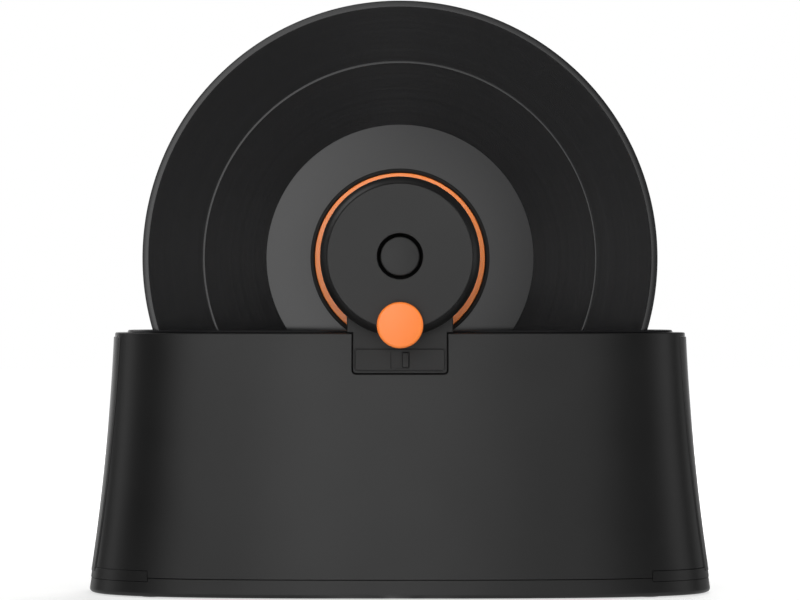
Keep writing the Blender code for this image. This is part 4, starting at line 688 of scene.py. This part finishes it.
# Nylon pile of about 2 mm in off white, each fibre drawn thicker than real to show.
nylon_pile = flocked_pile("flocked_nylon_pile", "#c2bcae", "#ded9cd")
bar_low, bar_high = tank_floor + 2 * gap, 0.13455
pad_root, pad_face, pad_half, pad_low, pad_margin = 0.0034, 0.0015, 0.0060, 0.0420, 0.0015
bar_outline = rounded_outline(-bar_half, bar_half, bar_low, bar_high, 0.0012)
pad_outline = rounded_outline(-pad_half, pad_half, pad_low, bar_high - pad_margin, pad_half - 0.0003, 12)
fibre_lean = 0.16
for facing, seed in (("front", 3), ("rear", 8)):
    bar = plate(f"brush_bar_{facing}", bar_outline, bar_front, bar_back, 0.0008, tank_pp)
    backing = plate("backing", pad_outline, -pad_root, -bar_back + gap, 0.0003, nylon_pile)
    pad = grown(f"wiping_pad_{facing}", backing.data, pile_tree, nylon_pile, seed=seed,
                fibres_per_square_metre=1.5e6, fibre_length=pad_root - pad_face, fibre_radius=0.00011,
                lean_low=(math.pi / 2 - fibre_lean, 0.0, -fibre_lean),
                lean_high=(math.pi / 2 + fibre_lean, 0.0, fibre_lean))
    bpy.data.objects.remove(backing)
    if facing == "rear":
        sealed(turned_about(bar))
    else:
        turned_about(pad)
    sealed(pad)
    for piece, node, slot in ((bar, f"brush_holder_{facing}", "tank"),
                              (pad, f"brush_pad_{facing}", "pile")):
        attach(piece, "tank_unit")
        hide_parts(node)


# --- Brackets and bearings ---
# Two arched ABS plates drop into the notches and rest on the ledge, hooked over the
# tank's lip. Each carries a boss with a bush of white acetal for the shaft.
axis_height = 0.1948
wing_half, boss_radius, boss_back, boss_front = 0.0303, 0.0150, 0.0385, 0.0640
bush_radius, bush_bore, flange_radius = 0.0115, 0.0093, 0.0138
on_axis = (0, 0, axis_height)
hook_half, hook_reach, hook_height = 0.0250, 0.0055, 0.0045
# Satin black ABS, a little duller than the casing's, and machined acetal: a milky
# white with a waxy shine.
bracket_abs = moulded_plastic("satin_black_abs", "#1a1a1a", "#1d1d1d", 0.37, 0.0006, 0.000005)
acetal = moulded_plastic("machined_white_acetal", "#dedcd4", "#e4e2da", 0.38, 0.0015, 0.000008, 1.48)
arch = notch_outline(gap, rim_height + gap)
arch = arch[:-1] + [(wing_half, rim_height + gap)] + arc(0, axis_height, wing_half, 0, 180, 48) \
    + [(-wing_half, rim_height + gap)] + arch[-1:]
brackets = {}
hook_low = tank_lip_top + gap
for facing in ("front", "rear"):
    bracket = plate(f"{facing}_arch", arch, face_depth, bracket_back, 0.0006, bracket_abs)
    hook = block("hook", (-hook_half, -bracket_back - overrun, hook_low),
                 (hook_half, -bracket_back + hook_reach, hook_low + hook_height), 0.0006)
    boss = turned("boss", eased([(0, boss_back), (boss_radius, boss_back, 0.0006),
                                 (boss_radius, boss_front, 0.0008), (0, boss_front)]),
                  facing="front", place=on_axis)
    carved(bracket, "UNION", hook, boss)
    carved(bracket, "DIFFERENCE", drill("bore", bush_radius + gap, 0.03, 0.07, facing="front",
                                        place=on_axis))
    brackets[facing] = sealed(bracket)


# --- Lock in the front bracket ---
# A window in the front bracket holds a thin cover plate, and the slider behind it
# shows its small grip through a slot. Slid to the left, its bolt enters the casing.
window_half, window_low, window_high, window_corner = 0.0261, 0.1295, 0.1430, 0.0023
cover_thickness, slot_left, slot_right, slot_low, slot_high = 0.0016, -0.0055, 0.0057, 0.1311, 0.1413
grip_left, grip_right, grip_proud = 0.0012, 0.0051, 0.0007
slider_left, slider_right, slider_low, slider_high = -0.0060, 0.0070, 0.1306, 0.1415
room_low, room_high, room_front = 0.1303, 0.1417, 0.0012
bolt_tip, bolt_half, channel_end, channel_half = -0.0270, 0.002, -0.0290, 0.0023
bolt_middle, travel = 0.13565, 0.0058
seen_gap = 0.0008  # the joint round the cover and the grip, wider than the other gaps


def behind_face(distance):
    return lambda x, z: face_depth(x, z) - distance


window = rounded_outline(-window_half, window_half, window_low, window_high, window_corner)
front_face = face_depth(0, bolt_middle)
slider_front, slider_back = front_face - cover_thickness - 2 * gap, front_face - 0.0037
carved(brackets["front"], "DIFFERENCE",
       plate("recess", window, behind_face(-overrun), behind_face(cover_thickness + gap)),
       block("room", (slider_left - travel - gap, -front_face + room_front, room_low),
             (slider_right + gap, -slider_back + gap, room_high)),
       block("channel", (channel_end, -slider_front - gap, bolt_middle - channel_half),
             (slider_left, -slider_back + gap, bolt_middle + channel_half)))
inner_window = rounded_outline(-window_half + seen_gap, window_half - seen_gap, window_low + seen_gap,
                               window_high - seen_gap, window_corner - seen_gap)
cover = plate("slot_cover", inner_window, face_depth, behind_face(cover_thickness), 0.0002, bracket_abs)
slot = plate("slot", rounded_outline(slot_left, slot_right, slot_low, slot_high, 0.0005), 0.070, 0.040)
carved(cover, "DIFFERENCE", slot)
slider = block("sliding_bolt", (slider_left, -slider_front, slider_low),
               (slider_right, -slider_back, slider_high), 0.0, bracket_abs)
grip_outline = rounded_outline(grip_left, grip_right, slot_low + seen_gap, slot_high - seen_gap, 0.0004)
carved(slider, "UNION",
       block("bolt", (bolt_tip, -slider_front, bolt_middle - bolt_half),
             (slider_left + overrun, -slider_back, bolt_middle + bolt_half)),
       plate("grip", grip_outline, behind_face(-grip_proud), slider_front - 0.0007, 0.0005))
for piece in (cover, slider):
    even_shading(sealed(piece))
for facing, bracket in brackets.items():
    even_shading(sealed(bracket))
    if facing == "rear":
        even_shading(sealed(turned_about(bracket)))
for piece, body, node, slot in ((brackets["front"], "carrier", "front_bracket", "bracket"),
                                (brackets["rear"], "carrier", "rear_bracket", "bracket"),
                                (cover, "carrier", "lock_cover", "bracket"),
                                (slider, "lock", "lock_slider", "casing")):
    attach(piece, body)
    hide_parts(node)

bush_front, cap_sunk, cap_back, cap_front = 0.0658, 0.0628, 0.0643, 0.0669
front_bush = turned("front_bush", eased([
    (bush_bore, boss_back, 0.0003), (bush_radius, boss_back, 0.0003), (bush_radius, boss_front + gap),
    (flange_radius, boss_front + gap, 0.0003), (flange_radius, bush_front, 0.0004),
    (bush_bore, bush_front, 0.0004)]), acetal, facing="front", place=on_axis)
cap = turned("boss_cap", eased([
    (0, cap_back), (bush_bore, cap_back), (bush_bore, cap_sunk), (bush_radius, cap_sunk),
    (bush_radius, cap_back), (boss_radius, cap_back, 0.0003), (boss_radius, cap_front, 0.0008),
    (0, cap_front)]), bracket_abs, facing="rear", place=on_axis)
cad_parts["rear_bearing"].material_slots[0].material = acetal
for piece, node, slot in ((front_bush, "front_bearing", "acetal"), (cap, "rear_bearing_cap", "bracket")):
    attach(piece, "carrier")
    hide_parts(node)


# --- Label clamps ---
# A cup of orange ABS on each side of the record carries a soft black sealing ring,
# which presses on the smooth run-out band and keeps the paper label dry.
# Orange ABS from a polished mould: a strong colour under a clear shine.
orange_abs = moulded_plastic("glossy_orange_abs", "#f98a40", "#fb8d45", 0.20, 0.0006, 0.000006)
cup_radius, cup_back, cup_sheet, cup_edge = 0.0497, 0.0018, 0.0036, 0.0056
cup_foot, cone_outer, cone_inner, cone_front = 0.0180, 0.0440, 0.0200, 0.0125
cup_hub, hub_root, hub_front = 0.0135, 0.0155, 0.0205
cup_profile = eased([
    (bush_bore, cup_back), (cup_foot, cup_back, 0.0003), (cup_foot, cup_sheet),
    (cup_radius, cup_sheet, 0.0004), (cup_radius, cup_edge, 0.0005), (cone_outer, cup_edge, 0.0020),
    (cone_inner, cone_front, 0.0030), (cup_hub, hub_root, 0.0012), (cup_hub, hub_front, 0.0005),
    (bush_bore, hub_front, 0.0003)], 6)
seal_inner, seal_lip, seal_step, seal_outer = 0.0440, 0.0500, 0.0503, 0.05225
seal_face, seal_back, seal_flange, seal_front = 0.0014, 0.0018, 0.0033, 0.0072
seal_profile = eased([
    (seal_inner, seal_back, 0.0003), (seal_step, seal_back), (seal_step, seal_face, 0.0001),
    (seal_outer, seal_face, 0.0003), (seal_outer, seal_front, 0.0008), (seal_lip, seal_front, 0.0008),
    (seal_lip, seal_flange), (seal_inner, seal_flange, 0.0003)], 5)
for facing, body in (("front", "front_clamp"), ("rear", "rear_rotor")):
    cup = turned(f"{facing}_cup", cup_profile, orange_abs, 160, facing, on_axis)
    ring = turned(f"{facing}_sealing_ring", seal_profile, silicone, 160, facing, on_axis)
    for piece, node, slot in ((cup, f"{facing}_label_cup", "orange"),
                              (ring, f"{facing}_seal", "rubber")):
        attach(piece, body)
        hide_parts(node)
for name in ("rear_spindle", "retaining_clip", "drive_shaft", "release_rod", "latch_ball_left",
             "latch_ball_right", "wheel_set_screw", "knob_pin", "button_spring"):
    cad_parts[name].material_slots[0].material = steel


# --- Record ---
# A 12 inch disc pressed from black PVC: a raised bead at its edge, fine grooves with
# one plain gap between tracks, a smooth glossy run-out band, and a plain paper label.
record_radius, bead_inner, gap_outer, gap_inner = 0.1508, 0.1470, 0.1154, 0.1141
run_out_radius, label_radius, hole_radius = 0.07815, 0.0500, 0.00362
label_face, run_out_face, groove_face, gap_face, bead_face = 0.0015, 0.0011, 0.0009, 0.00093, 0.0012


def pressed_vinyl(name):
    """Pressed PVC: grooves spread the shine outwards from the middle, plain bands stay glossy."""
    made, tree, spot = blank_material(name)
    place = add(tree, "ShaderNodeMapping", {
        "Vector": spot, "Location": (0, 0, -axis_height), "Scale": (1, 0, 1)})
    radius = add(tree, "ShaderNodeVectorMath", {0: place}, operation="LENGTH").outputs["Value"]
    share = add(tree, "ShaderNodeMath", {0: radius, 1: record_radius}, operation="DIVIDE")
    bands = add(tree, "ShaderNodeValToRGB", {"Fac": share})
    bands.color_ramp.interpolation = "CONSTANT"
    for stop, at, colour in zip(bands.color_ramp.elements, (0.0, label_radius), ("#d9d4c6", "#121213")):
        stop.position, stop.color = at / record_radius, linear(colour)
    # A groove is about 0.1 mm wide; they are drawn 0.4 mm apart, with walls as steep as real ones,
    # so the sheen fans out from the middle. How loud the music is changes their slant.
    phase = add(tree, "ShaderNodeMath", {0: radius, 1: math.tau / 0.0004}, operation="MULTIPLY")
    wave = add(tree, "ShaderNodeMath", {0: phase}, operation="SINE")
    loudness = add(tree, "ShaderNodeTexNoise", {"W": radius, "Scale": 1 / 0.0022, "Detail": 3.0},
                   noise_dimensions="1D")
    is_plain = add(tree, "ShaderNodeValToRGB", {"Fac": share})
    ramp = is_plain.color_ramp
    ramp.interpolation = "CONSTANT"
    ramp.elements.remove(ramp.elements[1])
    for start, level in ((0.0, 1), (run_out_radius, 0), (gap_inner, 1), (gap_outer, 0), (bead_inner, 1)):
        stop = ramp.elements.new(start / record_radius) if start else ramp.elements[0]
        stop.color = (level, level, level, 1)
    slant = add(tree, "ShaderNodeMapRange", {"Value": loudness, "From Min": 0.3, "From Max": 0.7,
                                             "To Min": 0.66, "To Max": 0.84})
    slant = add(tree, "ShaderNodeMix", {"Factor": is_plain.outputs["Color"], "A": slant, "B": 0.0})
    slant = add(tree, "ShaderNodeMath", {0: wave, 1: slant}, operation="MULTIPLY")
    away = add(tree, "ShaderNodeVectorMath", {0: place}, operation="NORMALIZE")
    outward = add(tree, "ShaderNodeVectorTransform", {"Vector": away}, vector_type="VECTOR",
                  convert_from="OBJECT", convert_to="WORLD")
    walls = add(tree, "ShaderNodeVectorMath", {0: outward, "Scale": slant}, operation="SCALE")
    flat = add(tree, "ShaderNodeNewGeometry").outputs["Normal"]
    tilted = add(tree, "ShaderNodeVectorMath", {0: flat, 1: walls}, operation="ADD")
    normal = add(tree, "ShaderNodeVectorMath", {0: tilted}, operation="NORMALIZE")
    shine = add(tree, "ShaderNodeMapRange", {"Value": loudness, "From Min": 0.3, "From Max": 0.7,
                                             "To Min": 0.31, "To Max": 0.39})
    gloss = add(tree, "ShaderNodeMix", {"Factor": is_plain.outputs["Color"], "A": shine, "B": 0.12})
    shader = add(tree, "ShaderNodeBsdfPrincipled", {
        "Base Color": bands.outputs["Color"], "Roughness": gloss, "Normal": normal, "IOR": 1.54,
        "Anisotropic": 0.6, "Tangent": outward})
    add(tree, "ShaderNodeOutputMaterial", {"Surface": shader})
    return made


vinyl = pressed_vinyl("pressed_pvc_with_grooves")
half = [(hole_radius, label_face, 0.0002), (label_radius, label_face, 0.0003),
        (label_radius, run_out_face), (run_out_radius, run_out_face, 0.0001),
        (run_out_radius + 0.0004, groove_face, 0.0001)]
half += [(gap_inner, groove_face), (gap_inner + 0.0003, gap_face), (gap_outer - 0.0003, gap_face),
         (gap_outer, groove_face), (bead_inner - 0.0002, groove_face, 0.0001),
         (bead_inner + 0.0002, bead_face, 0.0001), (record_radius, bead_face, 0.0005)]
profile = eased(half + [(r, -h) + tuple(ease) for r, h, *ease in reversed(half)], 5)
record = turned("pressed_record", profile, vinyl, 288, "front", on_axis, 50)
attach(record, "rear_rotor")
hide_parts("record")


# --- Hand wheel ---
# The hand wheel is a hollow ABS moulding with a rounded shoulder. A flat face disc
# is set into its front, and a ring closes the hollow at its back.
wheel_radius, wheel_back, wheel_widest, face_front = 0.0451, 0.0680, 0.0731, 0.0865
face_radius, button_radius, groove_radius = 0.0408, 0.01085, 0.01283
web_front, web_back, recess_floor, hub_start, hub_radius = 0.0842, 0.0816, 0.0750, 0.0661, 0.01405
lead_in, skirt_wall, boss_proud = 0.0792, 0.0030, 0.0006
plate_bore, plate_radius, plate_back, plate_front = 0.01435, 0.0418, 0.0683, 0.0703
knob_axis = (0, 0, 0.15635)
# Soft black ABS from a finely etched mould: even, with a slightly silky shine.
wheel_abs = moulded_plastic("soft_black_abs", "#1a1a1a", "#1d1d1d", 0.34, 0.0005, 0.000005)
band = face_radius + gap
edge_round, edge_drop, crown_power = 0.0003, 0.0008, 1.78
crown = [(band + edge_round + (wheel_radius - band - edge_round) * math.cos(a) ** crown_power,
          wheel_widest + (face_front - edge_drop - wheel_widest) * math.sin(a))
         for a in between(0, math.pi / 2, 12)]
skirt = wheel_radius - skirt_wall
rim_profile = eased([
    (bush_bore, hub_start, 0.0003), (hub_radius, hub_start, 0.0004), (hub_radius, web_back, 0.0010),
    (skirt, web_back, 0.0010), (skirt, wheel_back, 0.0003), (wheel_radius - 0.0008, wheel_back, 0.0012),
    (wheel_radius - 0.0001, wheel_back + 0.0024)] + crown + [
    (band, face_front - 0.0002, 0.0001), (band, web_front), (groove_radius, web_front),
    (button_radius + gap, lead_in), (button_radius + gap, recess_floor), (bush_bore, recess_floor)], 5)
wheel = turned("hand_wheel", rim_profile, wheel_abs, 192, "front", on_axis)
knob_boss, boss_root, boss_top = 0.0065, web_back - 0.0025, face_front + boss_proud
carved(wheel, "UNION", turned("boss", eased([
    (0, boss_root), (knob_boss, boss_root), (knob_boss, boss_top, 0.0004), (0, boss_top)]),
    facing="front", place=knob_axis, steps=64))
carved(wheel, "DIFFERENCE",
       drill("screw_hole", 0.0018, 0.0080, 0.0200, facing="right", place=(0, -0.07055, axis_height),
             steps=32),
       drill("bore", 0.0033, 0.0812, 0.09, facing="front", place=knob_axis, steps=48))
face = turned("wheel_face", eased([
    (groove_radius, web_front + gap), (face_radius, web_front + gap), (face_radius, face_front, 0.0004),
    (groove_radius, face_front, 0.0004)]), wheel_abs, 192, "front", on_axis)
carved(face, "DIFFERENCE", drill("clearance", knob_boss + gap, 0.08, 0.09, facing="front",
                                 place=knob_axis, steps=64))
back_ring = turned("wheel_back_ring", eased([
    (plate_bore, plate_back, 0.0003), (plate_radius, plate_back, 0.0003),
    (plate_radius, plate_front, 0.0003), (plate_bore, plate_front, 0.0003)]),
    wheel_abs, 160, "front", on_axis)
for piece, node in ((wheel, "crank_wheel"), (face, "crank_cover"), (back_ring, "crank_back_plate")):
    even_shading(sealed(piece))
    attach(piece, "front_clamp")
    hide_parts(node)


# --- Release button ---
# A black ABS button in a round recess of the wheel. Pressed against its coil spring,
# its stem pushes the rod that frees the clamp's latch.
stem_radius, stem_end, button_back, button_front = 0.0032, 0.0642, 0.0830, 0.0868
profile = eased([(0, stem_end), (stem_radius, stem_end, 0.0004), (stem_radius, button_back, 0.0004),
                 (button_radius, button_back, 0.0003), (button_radius, button_front, 0.0006),
                 (0, button_front)], 5)
button = turned("push_button", profile, wheel_abs, 128, "front", on_axis)
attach(button, "button")
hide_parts("release_button")


# --- Crank knob ---
# A hollow orange ABS knob that snaps over a barbed steel pin and spins on it, with a
# waist for the fingers and a flat front with a rounded edge.
# The cups' orange ABS in a deeper shade, with the same clear shine. The deeper shade is painted shade:
# it offsets the strong light that the knob catches from in front.
bright_orange_abs = moulded_plastic("bright_orange_abs", "#f98234", "#fb8538", 0.22, 0.0006, 0.000005)
knob_radius, knob_front, knob_back, face_round = 0.0129, 0.1030, 0.0873, 0.0013
pin_room, barb_room, barb_start, pin_end = 0.0032, 0.0037, 0.0984, 0.1008
foot_end, waist_radius, waist, shoulder_start = 0.0098, 0.0082, 0.0918, 0.0970
profile = [(0, pin_end), (barb_room, pin_end), (barb_room, barb_start), (pin_room, barb_start),
           (pin_room, knob_back, 0.0002), (foot_end, knob_back, 0.0008), (waist_radius, waist, 0.0030),
           (knob_radius, shoulder_start, 0.0016)]
profile += [(knob_radius - face_round * (1 - math.cos(a)), knob_front - face_round * (1 - math.sin(a)))
            for a in between(0, math.pi / 2, 8)]
knob = turned("spinning_knob", eased(profile + [(0, knob_front)], 6), bright_orange_abs, 96, "front",
              knob_axis)
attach(knob, "knob")
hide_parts("crank_knob")


# --- Studio ---
# A white paper sweep under soft lamps. What the black plastic mirrors is bright in
# front and behind, with dark flags on both sides that shape its rounded ends.
mirrored_tree, given = node_group("what the gloss mirrors", (("Direction", "Vector"),),
                                  ("Brightness", "Float"), "ShaderNodeTree")
towards = add(mirrored_tree, "ShaderNodeVectorMath", {0: given["Direction"]}, operation="NORMALIZE")
towards = towards.outputs["Vector"]


def levels(value, stops):
    """A brightness that follows the stops, each of a place from 0 to 1 and a level."""
    made = add(mirrored_tree, "ShaderNodeValToRGB", {"Fac": value})
    made.color_ramp.elements.remove(made.color_ramp.elements[1])
    for stop_place, level in stops:
        stop = made.color_ramp.elements.new(stop_place) if stop_place else made.color_ramp.elements[0]
        stop.color = (level, level, level, 1)
    return made.outputs["Color"]


def soft_light(direction, start, end, level):
    """A round softbox far away in one direction."""
    facing = add(mirrored_tree, "ShaderNodeVectorMath", {0: towards, 1: direction},
                 operation="DOT_PRODUCT").outputs["Value"]
    return add(mirrored_tree, "ShaderNodeMapRange", {"Value": facing, "From Min": start, "From Max": end,
                                                     "To Min": 0.0, "To Max": level})


parts = add(mirrored_tree, "ShaderNodeSeparateXYZ", {"Vector": towards}).outputs
height = add(mirrored_tree, "ShaderNodeMath", {0: parts["Z"]}, operation="ABSOLUTE")
forward = add(mirrored_tree, "ShaderNodeMath", {0: parts["Y"], 1: -1.0}, operation="MULTIPLY")
bearing = add(mirrored_tree, "ShaderNodeMath", {0: parts["X"], 1: forward}, operation="ARCTAN2")
bearing = add(mirrored_tree, "ShaderNodeMapRange", {
    "Value": bearing, "From Min": -math.pi, "From Max": math.pi})
# Brightness by bearing in degrees: 0 is the front, and -90 the object's left as the camera
# sees it. A ramp holds 0 to 1, so the levels are shares of its top; brightest scales the result.
brightest, ramp_top = 3.23, 2.5
studio = ((-180, 0.80), (-150, 0.56), (-132, 0.32), (-120, 0.10), (-110, 0.08), (-98, 0.32), (-86, 0.64),
          (-75, 0.36), (-62, 0.0), (-42, 0.0), (-33, 0.55), (-26, 1.10), (-18, 0.70), (-10, 0.52),
          (-5, 2.00), (-2, 1.60), (1, 1.04), (4, 0.82), (8, 0.08), (14, 0.56), (22, 0.63), (30, 0.0),
          (40, 0.0), (52, 0.0), (62, 0.37), (72, 0.64), (82, 0.40), (94, 0.0), (106, 0.20), (118, 0.28),
          (135, 0.20), (180, 0.80))
around = levels(bearing, [((degrees + 180) / 360, level / ramp_top) for degrees, level in studio])
low = levels(height, ((0.0, 1.0), (0.05, 1.0), (0.14, 0.70), (0.35, 0.24), (0.50, 0.09), (0.80, 0.09),
                      (1.0, 0.38)))
low = add(mirrored_tree, "ShaderNodeMath", {0: low, 1: brightest}, operation="MULTIPLY")
total = add(mirrored_tree, "ShaderNodeMath", {0: around, 1: low}, operation="MULTIPLY")
for softbox in (((-0.62, 0.35, 0.70), 0.90, 0.99, 0.8), ((-0.45, 0.77, 0.45), 0.80, 0.97, 0.35)):
    total = add(mirrored_tree, "ShaderNodeMath", {0: total, 1: soft_light(*softbox)}, operation="ADD")
add(mirrored_tree, "NodeGroupOutput", {"Brightness": total})


def backdrop_paper():
    """White paper: it takes shadows, and shows as white to the camera and as studio in gloss."""
    made, tree, spot = blank_material("white_backdrop_paper")
    rays = add(tree, "ShaderNodeLightPath").outputs
    shown = add(tree, "ShaderNodeMath", {0: rays["Is Camera Ray"], 1: rays["Is Transmission Ray"]},
                operation="MAXIMUM")
    fleck = add(tree, "ShaderNodeTexNoise", {"Vector": spot, "Scale": 1 / 0.02, "Detail": 2.0})
    tint = add(tree, "ShaderNodeMix", {"Factor": fleck, "A": linear("#babab9"), "B": linear("#bebebd")},
               data_type="RGBA")
    paper = add(tree, "ShaderNodeBsdfDiffuse", {"Color": tint})
    away = add(tree, "ShaderNodeVectorMath", {0: spot}, operation="LENGTH").outputs["Value"]
    level = add(tree, "ShaderNodeMapRange", {"Value": away, "From Min": 0.22, "From Max": 0.60,
                                             "To Min": 0.62, "To Max": 1.0})
    glow = add(tree, "ShaderNodeEmission", {"Color": (1, 1, 1, 1), "Strength": level})
    lit = add(tree, "ShaderNodeAddShader", {0: paper, 1: glow})
    direction = add(tree, "ShaderNodeVectorMath", {0: spot, 1: (0.0, 0.0, 0.17)}, operation="SUBTRACT")
    mirror = add(tree, "ShaderNodeGroup", {"Direction": direction}, node_tree=mirrored_tree)
    # Close to the object the floor glows brighter in gloss only: a painted reflection, which lays a pale
    # strip on the pan's rounded lower edge.
    near = add(tree, "ShaderNodeMapRange", {"Value": away, "From Min": 0.20, "From Max": 0.40,
                                            "To Min": 0.45, "To Max": 0.0})
    mirrored = add(tree, "ShaderNodeEmission", {"Color": (1, 1, 1, 1), "Strength": add(
        tree, "ShaderNodeMath", {0: mirror, 1: near}, operation="ADD")})
    plain = add(tree, "ShaderNodeMixShader", {0: shown, 1: paper, 2: lit})
    floor_look = add(tree, "ShaderNodeMixShader", {0: rays["Is Glossy Ray"], 1: plain, 2: mirrored})
    add(tree, "ShaderNodeOutputMaterial", {"Surface": floor_look})
    return made


sweep = bpy.data.meshes.new("sweep")
sweep.from_pydata([(-6, -6, 0), (6, -6, 0), (6, 6, 0), (-6, 6, 0)], [], [(0, 1, 2, 3)])
sweep.materials.append(backdrop_paper())
floor = show("floor", sweep)

world = bpy.data.worlds.new("studio")
bpy.context.scene.world = world
world.use_nodes = True
tree = world.node_tree
tree.nodes.clear()
rays = add(tree, "ShaderNodeLightPath").outputs
direction = add(tree, "ShaderNodeTexCoord").outputs["Generated"]
mirror = add(tree, "ShaderNodeGroup", {"Direction": direction}, node_tree=mirrored_tree)
mirrored = add(tree, "ShaderNodeBackground", {"Color": (1, 1, 1, 1), "Strength": mirror})
plain = add(tree, "ShaderNodeBackground", {"Color": (1, 1, 1, 1), "Strength": 1.0})
soft = add(tree, "ShaderNodeBackground", {"Color": (1, 1, 1, 1), "Strength": 0.10})
shown = add(tree, "ShaderNodeMath", {0: rays["Is Camera Ray"], 1: rays["Is Transmission Ray"]},
            operation="MAXIMUM")
inner = add(tree, "ShaderNodeMixShader", {0: rays["Is Glossy Ray"], 1: soft, 2: mirrored})
outer = add(tree, "ShaderNodeMixShader", {0: shown, 1: inner, 2: plain})
add(tree, "ShaderNodeOutputWorld", {"Surface": outer})


def lamp(name, place, width, height, watts):
    """A flat soft lamp that looks at the object's middle, and that no gloss mirrors."""
    light = bpy.data.lights.new(name, "AREA")
    light.shape = "RECTANGLE"
    light.size, light.size_y = width, height
    light.energy = watts
    made = bpy.data.objects.new(name, light)
    bpy.context.scene.collection.objects.link(made)
    made.location = place
    aim = Vector((0, 0, 0.17)) - Vector(place)
    made.rotation_euler = aim.to_track_quat("-Z", "Y").to_euler()
    made.visible_glossy = False


lamp("main", (-0.45, -2.4, 0.75), 1.5, 1.1, 37)
lamp("fill", (1.0, -2.0, 0.70), 0.9, 0.8, 14)
lamp("back", (0.5, 1.9, 1.6), 1.4, 1.0, 38)
lamp("left side", (-2.2, 0.35, 0.9), 1.0, 1.0, 15)
lamp("right side", (2.2, 0.35, 0.9), 1.0, 1.0, 15)

camera_data = bpy.data.cameras.new("camera")
camera_data.sensor_width = 36.0
camera_data.lens = 146.0
camera_data.clip_start, camera_data.clip_end = 0.05, 50.0
camera = bpy.data.objects.new("camera", camera_data)
bpy.context.scene.collection.objects.link(camera)
camera.location = (0, -1.9, 0.1703)
camera.rotation_euler = (math.pi / 2, 0, 0)
bpy.context.scene.camera = camera
bpy.context.scene.view_settings.view_transform = "Standard"
